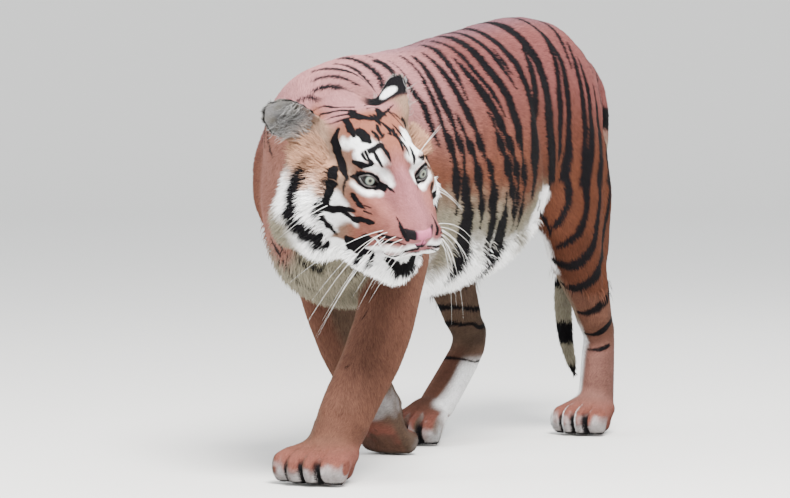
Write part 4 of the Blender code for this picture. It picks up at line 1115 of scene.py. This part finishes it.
def colours(points, normals, soft):
    """The coat's colour at points of the skin, from the soft share of each part there."""
    x, y, z = points.T
    angle = np.degrees(np.arctan2(z - CORE_Z, np.abs(x - SPINE_X)))
    wide = value_noise(points, 0.09, 3) - 0.5
    fine = value_noise(points, 0.012, 4) - 0.5
    below = -angle + 26 * wide + 8 * fine
    inner = np.where(x > SPINE_X, -normals[:, 0], normals[:, 0])
    limb = np.clip(soft[:, LEGS] + soft[:, PAWS], 0, 1)
    hind = smooth_step(y, 0.10, 0.20)

    # back, flank, belly
    # the top lighter and pinker than the orange sides: partly the coat's own tone, partly painted highlight from
    # above, most over the shoulders
    upper = mix(HIGHLIT_SALMON, BACK, smooth_step(y, -0.25, 0.0))
    tone = mix(ORANGE, upper, smooth_step(angle + 20 * wide, -20, 72))
    tone = mix(tone, RUST, 0.55 * smooth_step(y, 0.10, 0.30) * smooth_step(60 - angle, 0, 50))
    # painted sheen along the top of the shoulders
    tone = mix(tone, PAINTED_SHEEN_BLUE, 0.30 * smooth_step(angle, 74, 90) * smooth_step(y, -0.35, -0.1))
    neck_middle = np.interp(y, (-0.62, -0.45, -0.25), (0.10, -0.07, SPINE_X))
    under = smooth_step(0.115 - np.abs(x - neck_middle), 0.0, 0.035)
    under = np.maximum(under, smooth_step(y + 0.06 * wide, -0.30, -0.19))
    thigh = np.clip(soft[:, THIGHS] + limb, 0, 1)
    tone = mix(tone, NECK, smooth_step(-y, 0.40, 0.48) * smooth_step(0.64 - z, 0.0, 0.05))
    tone = mix(tone, CREAM, smooth_step(below, 19, 50) * (1 - thigh) * under)
    tone = mix(tone, WHITE, smooth_step(below, 48, 70) * (1 - thigh) * under * smooth_step(y, -0.30, -0.20))
    # limbs
    legs_tone, pale = limb_colours(points, inner, hind, wide)
    tone = mix(tone, legs_tone, limb)
    tone = mix(tone, WHITE, soft[:, THIGHS] * (1 - limb) * smooth_step(inner, 0.2, 0.6))
    fold = np.linalg.norm((points - (0.020, 0.216, 0.436)) / (0.060, 0.052, 0.046), axis=1) + 0.5 * fine
    tone = mix(tone, WHITE, smooth_step(1.15 - fold, 0.0, 0.35))
    # throat and chest
    front = smooth_step(-y, 0.30, 0.36) * (1 - limb) * (1 - soft[:, FACE])
    tone = mix(tone, CREAM, front * under * smooth_step(0.48 + 0.04 * wide - z, 0.0, 0.06))
    # tail and paws
    tone = mix(tone, CREAM, soft[:, TAIL] * smooth_step(0.62 - z, 0.0, 0.12))
    tone = paw_colours(tone, points, soft, pale, wide, fine)
    ink = body_ink(points, normals, soft, angle, thigh, wide, fine)

    # head
    local = to_head(points)
    head = np.clip(soft[:, FACE] + soft[:, EARS], 0, 1)
    if (head > 0).any():
        tone = mix(tone, face_colours(local, fine), np.clip(soft[:, FACE], 0, 1))
        ink = np.maximum(ink, np.maximum(face_ink(local, 11), lid_ink(local)) * smooth_step(head, 0.2, 0.6))
        for side in EYES:
            near = np.linalg.norm(points - middle("ear_" + side), axis=1) < 0.07
            tone = mix(tone, ear_colours(side, points, normals, fine), soft[:, EARS] * near)
    tone = tone * (1 + 0.16 * fine + 0.12 * wide)[:, None]
    return mix(tone, INK, ink)


# ---- the lie of the coat ---------------------------------------------------
def lie_field():
    """Which way the hair lies at each point of the skin."""
    ways = ((0.0, 1.0, -0.22), (0.0, 0.12, -1.0), (0.0, -1.0, -0.45), (0.0, 0.35, -1.0))
    back, leg, paw, tail = np.array(ways)
    lie = mix(back, leg, np.clip(on_legs + 0.55 * on_thighs, 0, 1))
    lie = mix(lie, paw, np.clip(on_paws, 0, 1))
    lie = mix(lie, tail, np.clip(on_tail, 0, 1))
    from_nose = unit((local - (0.0, -0.135, -0.030)) * (1.0, 1.0, 0.8)) @ HEAD_AXES
    ruff = smooth_step(-local[:, 2], 0.02, 0.10) * smooth_step(local[:, 1], -0.02, 0.06)
    from_nose = from_nose + ruff[:, None] * (np.array((0.0, 0.35, -0.55)) @ HEAD_AXES)
    lie = lie + (from_nose - lie) * np.clip(soft[:, FACE : FACE + 1] * 1.2, 0, 1)
    for side in ("left", "right"):
        tip = middle("ear_" + side) - SKULL
        here = of_nodes(labels, "ear_" + side)[:, None]
        lie = lie + (unit(tip) - lie) * here
    lie = web.even(lie, 14)
    lie = lie - normals * (lie * normals).sum(axis=1, keepdims=True)
    return unit(lie)


lie = lie_field()


# ---- materials -------------------------------------------------------------
def new_material(name, roughness, sheen=0.0, coat=0.0, specular=0.5):
    made = bpy.data.materials.new(name)
    made.use_nodes = True
    shader = made.node_tree.nodes["Principled BSDF"]
    shader.inputs["Roughness"].default_value = roughness
    shader.inputs["Specular IOR Level"].default_value = specular
    if sheen:
        shader.inputs["Sheen Weight"].default_value = sheen
        shader.inputs["Sheen Roughness"].default_value = 0.45
    if coat:
        shader.inputs["Coat Weight"].default_value = coat
        shader.inputs["Coat Roughness"].default_value = 0.03
    return made, made.node_tree, shader


def add_grain(tree, kind, output, scale, detail=None):
    """The output of a fine texture that lies on the object's own coordinates."""
    where = tree.nodes.new("ShaderNodeTexCoord")
    grain = tree.nodes.new(kind)
    grain.inputs["Scale"].default_value = scale
    if detail:
        grain.inputs["Detail"].default_value = detail
    tree.links.new(where.outputs["Object"], grain.inputs["Vector"])
    return grain.outputs[output]


def add_kept_colour(tree, shader, grain, low, high):
    """Links the colour kept on the mesh, times low to high by the grain."""
    colour = tree.nodes.new("ShaderNodeAttribute")
    colour.attribute_name = "coat"
    spread = tree.nodes.new("ShaderNodeMapRange")
    spread.inputs["To Min"].default_value = low
    spread.inputs["To Max"].default_value = high
    tree.links.new(grain, spread.inputs["Value"])
    tint = tree.nodes.new("ShaderNodeMix")
    tint.data_type = "RGBA"
    tint.blend_type = "MULTIPLY"
    tint.inputs["Factor"].default_value = 1.0
    tree.links.new(colour.outputs["Color"], tint.inputs[6])
    tree.links.new(spread.outputs["Result"], tint.inputs[7])
    tree.links.new(tint.outputs[2], shader.inputs["Base Color"])


def add_bump(tree, shader, grain, strength, depth, invert=False):
    bump = tree.nodes.new("ShaderNodeBump")
    bump.inputs["Strength"].default_value = strength
    bump.inputs["Distance"].default_value = depth
    bump.invert = invert
    tree.links.new(grain, bump.inputs["Height"])
    tree.links.new(bump.outputs["Normal"], shader.inputs["Normal"])


def coat_material(name, scale, depth):
    """Fur: the kept colour, broken up by fine noise, with a bump of hairs."""
    made, tree, shader = new_material(name, 0.74, sheen=0.01, specular=0.08)
    grain = add_grain(tree, "ShaderNodeTexNoise", "Fac", scale, 3.0)
    add_kept_colour(tree, shader, grain, 0.80, 1.22)
    add_bump(tree, shader, grain, 0.5, depth)
    return made


def keep_colours(mesh, values):
    layer = mesh.color_attributes.new("coat", "FLOAT_COLOR", "POINT")
    opaque = np.column_stack((values, np.ones(len(values)))).astype(np.float32)
    layer.data.foreach_set("color", opaque.ravel())


skin_colours = colours(before_sculpt, normals, soft)
keep_colours(mesh, skin_colours * 0.9)
mesh.materials.append(coat_material("skin", 900.0, 0.0015))
HAIR = coat_material("coat", 1400.0, 0.0004)


# ---- the coat --------------------------------------------------------------
def unwrap(points, labels):
    """Each part of the skin unrolled round its own longest axis, into a cell of its own."""
    places = np.zeros((len(points), 2))
    across = 5
    for index in np.unique(labels):
        here = labels == index
        p = points[here] - points[here].mean(axis=0)
        axes = np.linalg.eigh(np.cov(p.T) + np.eye(3) * 1e-9)[1] if len(p) > 3 else np.eye(3)
        q = p @ axes
        turn = np.arctan2(q[:, 0], q[:, 1]) / (2 * math.pi) + 0.5
        run = (q[:, 2] - q[:, 2].min()) / max(np.ptp(q[:, 2]), 1e-6)
        row, column = divmod(int(index), across)
        places[here, 0] = (column + 0.02 + 0.94 * turn) / across
        places[here, 1] = (row + 0.02 + 0.94 * run) / across
    return places


PLACES = unwrap(points, labels)


def sow(weight, seed):
    """Picks places on the skin, weight to the square metre: face rows and blends of their corners."""
    draw = np.random.default_rng(seed)
    a, b, c, d = (points[faces[:, k]] for k in range(4))
    area = 0.5 * np.linalg.norm(np.cross(c - a, d - b), axis=1)
    flat = faces[:, 3] == faces[:, 2]
    area[flat] = 0.5 * np.linalg.norm(np.cross(b[flat] - a[flat], c[flat] - a[flat]), axis=1)
    want = area * weight[faces].mean(axis=1)
    number = np.floor(want + draw.random(len(want))).astype(int)
    rows = np.repeat(np.arange(len(faces)), number)
    s, t = draw.random(len(rows)), draw.random(len(rows))
    blend = np.stack(((1 - s) * (1 - t), s * (1 - t), s * t, (1 - s) * t), axis=1)
    return rows, blend, draw


def at_roots(values, rows, blend):
    """The skin's values at the sown places."""
    values = values.reshape(len(values), -1)
    return sum(values[faces[rows, k]] * blend[:, k : k + 1] for k in range(4))


def build_tufts(name, corners, shades, uv, triangles):
    """One mesh of tufts: corners (n, k, 3), shades (n, k, 3), uv (n, k, 2), triangles of one tuft (m, 3)."""
    n, k, _ = corners.shape
    made = bpy.data.meshes.new(name)
    made.vertices.add(n * k)
    made.vertices.foreach_set("co", corners.astype(np.float32).ravel())
    index = (np.arange(n)[:, None, None] * k + np.array(triangles)[None]).reshape(-1, 3)
    made.loops.add(index.size)
    made.loops.foreach_set("vertex_index", index.astype(np.int32).ravel())
    made.polygons.add(len(index))
    made.polygons.foreach_set("loop_start", np.arange(0, index.size, 3, dtype=np.int32))
    made.polygons.foreach_set("loop_total", np.full(len(index), 3, np.int32))
    made.polygons.foreach_set("use_smooth", np.ones(len(index), bool))
    made.update(calc_edges=True)
    layer = made.uv_layers.new(name="OFBake")
    layer.data.foreach_set("uv", uv.reshape(-1, 2)[index.ravel()].astype(np.float32).ravel())
    keep_colours(made, np.clip(shades.reshape(-1, 3), 0.002, 1.0))
    piece = add_object(name, made, HAIR)
    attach(piece, "root")


def lay_coat(
    name, weight, length, width, lift, seed, droop=0.0, curl=0.0, long=False, tint=None, tint_share=0.0
):
    """Sows tufts and lays each along the coat's lie, its root just under the skin.

    A short tuft is a ridged blade of two triangles. A long one bends in the middle, twists and has three.
    """
    rows, blend, draw = sow(weight, seed)
    if not len(rows):
        return
    root = at_roots(points, rows, blend)
    up = unit(at_roots(normals, rows, blend))
    way = at_roots(lie, rows, blend)
    way = unit(way - up * (way * up).sum(axis=1, keepdims=True))
    share = at_roots(soft, rows, blend)
    spot = at_roots(before_sculpt, rows, blend)
    span = at_roots(length, rows, blend)[:, 0] * (0.75 + 0.5 * draw.random(len(rows)))
    broad = at_roots(width, rows, blend)[:, 0] * (0.8 + 0.4 * draw.random(len(rows)))
    side = np.cross(up, way)
    swing = draw.normal(0, 0.20 + curl, len(rows))[:, None]
    way = unit(way + side * swing)
    side = np.cross(up, way)
    rise = at_roots(lift, rows, blend)[:, 0] * (0.6 + 0.8 * draw.random(len(rows)))
    fall = np.array((0.0, 0.0, -1.0)) * droop
    tip_way = unit(way * np.cos(rise)[:, None] + up * np.sin(rise)[:, None] + fall)
    where = PLACES[faces[rows, 0]]
    base = colours(spot + way * ((0.25 if long else 0.62) * span)[:, None], up, share)
    base = base * (1 + draw.normal(0, 0.16, len(rows)).clip(-0.4, 0.4))[:, None]
    if tint is not None:
        base = mix(base, tint, np.full(len(rows), tint_share))
    sink = up * 0.0007
    half = side * (broad * 0.5)[:, None]
    if long:
        mid_way = unit(way * np.cos(rise * 1.5)[:, None] + up * np.sin(rise * 1.5)[:, None])
        mid = root + mid_way * (0.5 * span)[:, None]
        tip = mid + unit(tip_way + fall) * (0.5 * span)[:, None]
        turn = draw.uniform(-0.9, 0.9, len(rows))[:, None]
        half = unit(side + up * turn) * (broad * 0.5)[:, None]
        low = root - sink
        corners = np.stack((low - half, low + half, mid + half * 0.9, mid - half * 0.9, tip), axis=1)
        triangles = ((0, 1, 2), (0, 2, 3), (3, 2, 4))
        # corner colours: darker at the root as painted shade down among the hairs, lighter towards the tip
        root_shade_tones = np.stack((0.66 * base, 0.66 * base, base, base, 1.15 * base), axis=1)
        spots = ((0, 0), (1, 0), (1, 0.5), (0, 0.5), (0.5, 1))
    else:
        ridge = root + up * (broad * 0.30)[:, None] + tip_way * (0.15 * span)[:, None]
        tip = root + tip_way * span[:, None]
        corners = np.stack((root - sink - half, ridge, root - sink + half, tip), axis=1)
        triangles = ((0, 3, 1), (1, 3, 2))
        # corner colours: darker at the root as painted shade down among the hairs, lighter towards the tip
        root_shade_tones = np.stack((0.62 * base, 0.98 * base, 0.62 * base, 1.22 * base), axis=1)
        spots = ((0, 0), (0.5, 0.2), (1, 0), (0.5, 1))
    uv = where[:, None, :] + (np.array(spots)[None] - 0.5) * PATCH
    corners = np.clip(corners, np.array(cad_low) + BOX_GAP, np.array(cad_high) - BOX_GAP)
    order = np.lexsort((root[:, 2], np.round(root[:, 1], 2)))
    most = MOST_TRIANGLES // len(triangles)
    for number, start in enumerate(range(0, len(order), most)):
        chosen = order[start : start + most]
        build_tufts(f"{name}.{number + 1}", corners[chosen], root_shade_tones[chosen], uv[chosen], triangles)


thin = 1.0  # the share of the tufts that is laid
lift = 0.13 + 0.03 * on_face
eye_clear = np.ones(len(points))
for side, centre in EYES.items():
    along, up_way, out = eye_frame(side)
    away = points - centre
    edge = opening(away @ along, away @ up_way)
    near = np.linalg.norm(away, axis=1) < 0.04
    eye_clear[near & (edge < 0.0012)] = 0.0
nose_away = (local - (-MUZZLE_TURN, -0.126, -0.057)) / (0.0275, 0.026, 0.0155)
nose_clear = smooth_step(np.linalg.norm(nose_away, axis=1), 1.0, 1.15)
floor_clear = smooth_step(points[:, 2], 0.004, 0.008)
clear = eye_clear * nose_clear * floor_clear
lay_coat("coat", coat_count * clear * thin, coat_length, coat_width, lift, 31)

# where the long hair grows
lx, ly, lz = local.T
far_low = np.where(lx > 0, smooth_step(-lz, 0.045, 0.085), 1.0)
cheek = far_low * on_face * smooth_step(np.abs(lx), 0.070, 0.095)
cheek = cheek * smooth_step(-lz, -0.01, 0.05) * smooth_step(ly, 0.02, 0.07)
chin = on_face * smooth_step(-lz, 0.125, 0.14) * smooth_step(0.08 - ly, 0.0, 0.04)
x, y, z = points.T
angle_under = np.degrees(np.arctan2(z - CORE_Z, np.abs(x - SPINE_X)))
trunk_share = np.clip(1 - on_face - on_ears - on_paws - on_legs - on_tail, 0, 1)
belly = trunk_share * (1 - on_thighs) * smooth_step(-angle_under, 48, 66) * smooth_step(y, -0.22, -0.14)
neck_middle = np.interp(y, (-0.62, -0.45, -0.25), (0.10, -0.07, SPINE_X))
throat = trunk_share * smooth_step(-y, 0.22, 0.32) * smooth_step(0.50 - z, 0.0, 0.08)
throat *= smooth_step(0.125 - np.abs(x - neck_middle), 0.0, 0.05)
ear_front = np.zeros(len(points))
for side in ("left", "right"):
    away = points - middle("ear_" + side)
    facing = 1 - smooth_step(normals @ EAR_BACKS[side], -0.25, 0.05)
    low = smooth_step(away @ EAR_FEET[side], -0.024, 0.004)
    low = low * smooth_step(np.linalg.norm(local - (-0.121, 0.135, 0.010), axis=1), 0.010, 0.015)
    near = of_nodes(labels, "ear_" + side, "head") * (np.linalg.norm(away, axis=1) < 0.050)
    ear_front = np.maximum(ear_front, near * facing * low)
mirror = np.stack((np.abs(lx), ly, lz), axis=1)
fringe = np.linalg.norm((mirror - (0.096, 0.106, 0.000)) / (0.030, 0.034, 0.028), axis=1)
fringe = on_face * smooth_step(1.1 - fringe, 0.0, 0.4)

# tufts to the square metre, length, width, rise, seed, droop, curl, tint and its share
LONG_HAIR = {
    "ear_hair": (150e3 * ear_front, 0.026, 0.0012, 0.55, 45, 0.0, 0.15, WHITE * 0.5, 0.35),
    "ear_fringe": (420e3 * fringe, 0.021, 0.0013, 0.50, 46, 0.0, 0.12, PEACH, 0.5),
    "ruff": (330e3 * cheek, 0.023, 0.0012, 0.26, 41, 0.25, 0.02, None, 0.0),
    "chin": (200e3 * chin, 0.015, 0.0012, 0.40, 42, 0.2, 0.1, None, 0.0),
    "belly": (95e3 * belly, 0.026, 0.0016, 0.34, 43, 0.3, 0.05, None, 0.0),
    "throat": (130e3 * throat, 0.026, 0.0016, 0.26, 44, 0.25, 0.05, None, 0.0),
}
for name, (weight, length, width, rise, seed, droop, curl, tint, share) in LONG_HAIR.items():
    length, width, rise = (np.full(len(points), value) for value in (length, width, rise))
    lay_coat(name, weight * thin, length, width, rise, seed, droop, curl, True, tint, share)


# ---- eyes ------------------------------------------------------------------
IRIS, PUPIL = 0.0088, 0.0031  # radii over the ball
IRIS_LIGHT, IRIS_DARK = np.array((0.150, 0.185, 0.165)), np.array((0.066, 0.088, 0.082))
IRIS_WARM, IRIS_EDGE = np.array((0.150, 0.140, 0.085)), np.array((0.014, 0.018, 0.016))
BALL_INK, PUPIL_INK = np.array((0.004, 0.003, 0.003)), np.array((0.002, 0.002, 0.002))
GAZES = {"left": (0.22, -0.95, 0.16), "right": (-0.30, -0.90, 0.22)}  # in the head's axes


def eye_material():
    """Wet and glossy over the kept colour."""
    made, tree, shader = new_material("eye", 0.06, coat=0.18, specular=0.12)
    add_kept_colour(tree, shader, add_grain(tree, "ShaderNodeTexNoise", "Fac", 1500.0), 0.82, 1.18)
    return made


def add_eye(side, material):
    """A glossy ball: a round pupil, a streaked iris with a dark edge, and a low bulge over them."""
    gaze = unit(np.array(GAZES[side])) @ HEAD_AXES
    across = unit(np.cross(gaze, (0, 0, 1)))
    over = np.cross(across, gaze)
    rings, around = 72, 96
    polar = np.linspace(0, math.pi, rings + 1)[1:-1]
    turn = np.linspace(0, 2 * math.pi, around, endpoint=False)
    p, t = np.meshgrid(polar, turn, indexing="ij")
    ball = np.cos(p)[..., None] * gaze + np.sin(p)[..., None] * (
        np.cos(t)[..., None] * across + np.sin(t)[..., None] * over
    )
    ball = np.concatenate((gaze[None], ball.reshape(-1, 3), -gaze[None]))
    angle = np.arccos(np.clip(ball @ gaze, -1, 1))
    out = EYE_RADIUS * angle
    radius = EYE_RADIUS - 0.0004 + 0.0007 * smooth_step(IRIS + 0.002 - out, 0, 0.006)
    places = EYES[side] + ball * radius[:, None]
    first, last = 1, len(places) - 1
    quads = []
    for i in range(rings - 2):
        for k in range(around):
            a, b = first + i * around + k, first + i * around + (k + 1) % around
            quads.append((a, a + around, b + around, b))
    for k in range(around):
        a, b = first + k, first + (k + 1) % around
        quads.append((0, a, b))
        quads.append((last, b + (rings - 2) * around, a + (rings - 2) * around))
    data = smooth_mesh("eyeball_" + side, places.tolist(), quads)
    around_angle = np.arctan2(ball @ over, ball @ across)
    streak = 0.5 + 0.5 * np.sin(around_angle * 34 + 3 * np.sin(around_angle * 9) + out * 900)
    iris = mix(IRIS_LIGHT, IRIS_DARK, 0.6 * streak)
    iris = mix(iris, IRIS_WARM, bell(out - PUPIL - 0.001, 0.0014) * 0.6)
    iris = mix(iris, IRIS_EDGE, smooth_step(out, IRIS - 0.0026, IRIS - 0.0004))
    tone = mix(iris, BALL_INK, smooth_step(out, IRIS - 0.0004, IRIS + 0.0010))
    tone = mix(tone, PUPIL_INK, smooth_step(PUPIL - out, -0.0004, 0.0004))
    keep_colours(data, tone)
    made = add_object("eyeball_" + side, data, material)
    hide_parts("eye_" + side)
    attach(made, "root")


def tube(path, radii, sides):
    """Points and faces of a closed tube along a path."""
    path = np.asarray(path, float)
    way = unit(np.gradient(path, axis=0))
    side = unit(np.cross(way, (0.31, 0.17, 0.93)))
    other = np.cross(way, side)
    turn = np.linspace(0, 2 * math.pi, sides, endpoint=False)
    ring = np.cos(turn)[None, :, None] * side[:, None] + np.sin(turn)[None, :, None] * other[:, None]
    places = (path[:, None] + ring * np.asarray(radii)[:, None, None]).reshape(-1, 3)
    quads = []
    for i in range(len(path) - 1):
        for k in range(sides):
            a, b = i * sides + k, i * sides + (k + 1) % sides
            quads.append((a, b, b + sides, a + sides))
    ends = [tuple(range(sides))[::-1], tuple(range((len(path) - 1) * sides, len(path) * sides))]
    return places.tolist(), quads + ends


def gather(name, parts, material):
    """One object from several lists of points and faces."""
    points, faces = [], []
    for places, rows in parts:
        base = len(points)
        points += places
        faces += [tuple(base + i for i in row) for row in rows]
    made = add_object(name, smooth_mesh(name, points, faces), material)
    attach(made, "root")
    return made


def grained(name, colour, dark, scale, roughness, bump_depth, coat=0.0):
    """Bare skin or hair: two near colours in fine grain, with a bump."""
    made, tree, shader = new_material(name, roughness, coat=coat)
    grain = add_grain(tree, "ShaderNodeTexNoise", "Fac", scale, 5.0)
    ramp = tree.nodes.new("ShaderNodeValToRGB")
    for element, tone, position in zip(ramp.color_ramp.elements, (dark, colour), (0.35, 0.62)):
        element.color = (*tone, 1)
        element.position = position
    tree.links.new(grain, ramp.inputs["Fac"])
    tree.links.new(ramp.outputs["Color"], shader.inputs["Base Color"])
    add_bump(tree, shader, grain, 0.6, bump_depth)
    return made


EYE_GLOSS = eye_material()
LID_SKIN = grained("lid_skin", (0.022, 0.016, 0.015), (0.008, 0.006, 0.006), 900.0, 0.32, 0.0004, coat=0.3)
for side in EYES:
    add_eye(side, EYE_GLOSS)
    along, up_way, out = eye_frame(side)
    turn = np.linspace(0, 2 * math.pi, 61)
    t = np.cos(turn) * np.where(np.cos(turn) > 0, 0.99, 1.30)
    middle_line, half = almond(t)
    height = middle_line + np.where(np.sin(turn) >= 0, half, -half)
    flat = np.outer(EYE_WIDTH * t, along) + np.outer(height, up_way)
    depth = np.sqrt(np.maximum((EYE_RADIUS + 0.0006) ** 2 - (flat**2).sum(axis=1), 0.0))
    rim = EYES[side] + flat + np.outer(depth, out)
    gather("lid_rim_" + side, [tube(rim, np.full(len(rim), 0.0015), 8)], LID_SKIN)

# ---- nose leather ----------------------------------------------------------
NOSE_TOP, NOSE_LOW = -0.0440, -0.0735  # heights of its upper edge and its foot, in the head's axes
LEATHER_PINK, LEATHER_BROWN = np.array((0.400, 0.110, 0.190)), np.array((0.220, 0.070, 0.080))
LEATHER_INK = np.array((0.004, 0.003, 0.004))
NOSTRIL = (
    (0.0085, -0.127, -0.060), (0.0145, -0.123, -0.062), (0.0205, -0.116, -0.058), (0.0255, -0.107, -0.051),
)


def add_nose():
    """The bare leather: the skin's own faces over the tip of the muzzle, a little proud, with nostrils."""
    place = to_head(points) + (MUZZLE_TURN, 0, 0)
    t = np.clip((NOSE_TOP - place[:, 2]) / (NOSE_TOP - NOSE_LOW), 0, 1)
    broad = 0.0285 - 0.0210 * smooth_step(t, 0.30, 1.0)
    x, y, z = place.T
    inside = (np.abs(x) < broad) & (z < NOSE_TOP + 0.004) & (z > NOSE_LOW) & (y < -0.092)
    rows = faces[inside[faces].all(axis=1)]
    used = np.unique(rows)
    number = np.full(len(points), -1)
    number[used] = np.arange(len(used))
    p, n = place[used].copy(), (normals @ HEAD_AXES.T)[used]
    edge_gap = np.minimum(broad[used] - np.abs(p[:, 0]), NOSE_TOP + 0.004 - p[:, 2])
    p = p + n * (0.0001 + 0.0012 * smooth_step(edge_gap, 0.0, 0.004))[:, None]
    hole = np.zeros(len(p))
    for sign in (-1, 1):
        hole = np.maximum(hole, bell(along_line(p, np.array(NOSTRIL) * (sign, 1, 1))[0], 0.0042))
    seam = bell(p[:, 0], 0.0012) * smooth_step(-p[:, 2], 0.052, 0.060)
    p = p - n * (0.0050 * hole + 0.0012 * seam)[:, None]
    corners = [tuple(dict.fromkeys(row)) for row in number[rows].tolist()]
    data = smooth_mesh("nose_leather", from_head(p - (MUZZLE_TURN, 0, 0)).tolist(), corners)
    spots = value_noise(p, 0.004, 5)
    tone = mix(LEATHER_PINK, LEATHER_BROWN, 0.5 * spots)
    # painted shade: black in the nostrils; and dark along the middle seam
    tone = mix(tone, INK, np.clip(smooth_step(hole, 0.25, 0.7) + 0.8 * seam, 0, 1))
    dusk = smooth_step(np.where(p[:, 0] < 0, -p[:, 0], p[:, 0] - 0.005), 0.008, 0.015)
    dusk = dusk + smooth_step(-p[:, 2], 0.062, 0.070)
    tone = mix(tone, LEATHER_INK, np.clip(dusk, 0, 1))
    keep_colours(data, tone)
    made = add_object("nose_leather", data, leather_material())
    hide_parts("nose")
    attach(made, "root")


def leather_material():
    """The kept colour over small round bumps."""
    made, tree, shader = new_material("nose_leather", 0.55, coat=0.03, specular=0.06)
    cells = add_grain(tree, "ShaderNodeTexVoronoi", "Distance", 900.0)
    add_kept_colour(tree, shader, cells, 1.15, 0.75)
    add_bump(tree, shader, cells, 0.5, 0.0005, invert=True)
    return made


add_nose()

# ---- whiskers --------------------------------------------------------------
WHISKER = grained("whisker", (0.90, 0.90, 0.88), (0.70, 0.70, 0.68), 300.0, 0.35, 0.0001)


def whisker(root, way, length, sag, radius):
    """A tapered hair that hangs a little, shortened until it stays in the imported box."""
    t = np.linspace(0, 1, 10)[:, None]
    drop = np.array((0.0, 0.18, -1.0))
    for _ in range(12):
        path = from_head(np.array(root) + unit(np.array(way)) * t * length + drop * (sag * t**2 * length))
        if (path > np.array(cad_low) + 0.003).all() and (path < np.array(cad_high) - 0.003).all():
            break
        length *= 0.88
    return tube(path, radius * (1 - 0.88 * t[:, 0]), 5)


def on_face_skin(place):
    """The nearest place on the skin of the head, in its own axes."""
    return HEAD_TREE.find_nearest(Vector(place))[0]


whiskers = []
draw = np.random.default_rng(77)
for sign in (-1, 1):
    for row in range(3):
        for number in range(4):
            y = -0.106 + 0.0105 * number
            root = (sign * (0.030 + 0.0042 * number), y, -0.060 - 0.0065 * row)
            way = (
                sign * (0.80 - 0.05 * number + draw.normal(0, 0.05)),
                -0.12 + 0.09 * number + draw.normal(0, 0.05),
                -0.12 - 0.28 * row + draw.normal(0, 0.06),
            )
            length = (0.080 + 0.017 * number) * draw.uniform(0.85, 1.15)
            whiskers.append(whisker(on_face_skin(root), way, length, draw.uniform(0.35, 1.15), 0.00040))
    for number in range(2):
        root = on_face_skin((sign * (0.046 + 0.006 * number), 0.002 + 0.004 * number, 0.036))
        way = (sign * 0.5, -0.15 + 0.1 * number, 0.85)
        whiskers.append(whisker(root, way, draw.uniform(0.05, 0.075), 0.12, 0.00045))
    for number in range(3):
        root = on_face_skin((sign * 0.100, 0.030 + 0.01 * number, -0.055))
        whiskers.append(whisker(root, (sign * 0.8, 0.2, -0.4), draw.uniform(0.06, 0.09), 0.3, 0.0005))
gather("whiskers", whiskers, WHISKER)


# ---- floor, lights and camera ----------------------------------------------
def add_floor():
    """A pale round floor that curves up far away, so no edge of it shows."""
    rings = [(0.0, 0.0), (1.5, 0.0), (4.0, 0.0), (9.0, 0.0), (13.0, 0.0)]
    rings += [(13.0 + 5.0 * math.sin(t), 5.0 - 5.0 * math.cos(t)) for t in np.linspace(0.1, math.pi / 2, 14)]
    around = 96
    turns = np.linspace(0, 2 * math.pi, around, endpoint=False)
    points = [(r * math.cos(t), r * math.sin(t), h - 0.0005) for r, h in rings for t in turns]
    quads = [
        (i + k, i + (k + 1) % around, i + around + (k + 1) % around, i + around + k)
        for i in range(0, (len(rings) - 1) * around, around)
        for k in range(around)
    ]
    material, _, shader = new_material("floor", 0.9)
    shader.inputs["Base Color"].default_value = (0.66, 0.65, 0.63, 1.0)
    floor = add_object("floor", smooth_mesh("floor", points, [quad[::-1] for quad in quads]), material)


def add_light(name, place, target, size, power, colour=(1, 1, 1)):
    """A round soft light that faces the target."""
    data = bpy.data.lights.new(name, "AREA")
    data.shape = "DISK"
    data.size = size
    data.energy = power
    data.color = colour
    made = bpy.data.objects.new(name, data)
    bpy.context.scene.collection.objects.link(made)
    made.location = place
    made.rotation_euler = (Vector(target) - Vector(place)).to_track_quat("-Z", "Y").to_euler()


# the sensor's width in mm; then, in one unit, the image's width, its distance from the lens, and how far
# its middle lies below the horizon
SENSOR_WIDTH, IMAGE_WIDTH, VIEW_DEPTH, MIDDLE_FALL = 36.0, 790, 4000, 170


def add_camera():
    """A long lens in front, on the animal's left, at the height of its head and turned a little down."""
    data = bpy.data.cameras.new("camera")
    data.sensor_width = SENSOR_WIDTH
    data.lens = SENSOR_WIDTH * VIEW_DEPTH / IMAGE_WIDTH
    data.clip_end = 60
    made = bpy.data.objects.new("camera", data)
    bpy.context.scene.collection.objects.link(made)
    made.location = (3.2497, -6.4271, 0.680)
    heading, drop = math.radians(28.0), math.atan(MIDDLE_FALL / VIEW_DEPTH)
    aim = Vector((-math.sin(heading) * math.cos(drop), math.cos(heading) * math.cos(drop), -math.sin(drop)))
    made.rotation_euler = aim.to_track_quat("-Z", "Y").to_euler()
    bpy.context.scene.camera = made


def add_world():
    """An even pale light from all round."""
    world = bpy.data.worlds.new("studio")
    world.use_nodes = True
    back = world.node_tree.nodes["Background"]
    back.inputs["Color"].default_value = (0.90, 0.93, 0.96, 1.0)
    back.inputs["Strength"].default_value = 1.85
    bpy.context.scene.world = world


add_floor()
add_camera()
add_world()
add_light("key", (2.2, -2.8, 4.2), (0, -0.2, 0.4), 2.2, 1150, (1.0, 0.98, 0.95))
add_light("fill", (-3.0, -4.2, 1.8), (0, -0.4, 0.4), 3.0, 190)
add_light("rim", (1.0, 4.0, 3.4), (0, 0.2, 0.5), 2.4, 90)
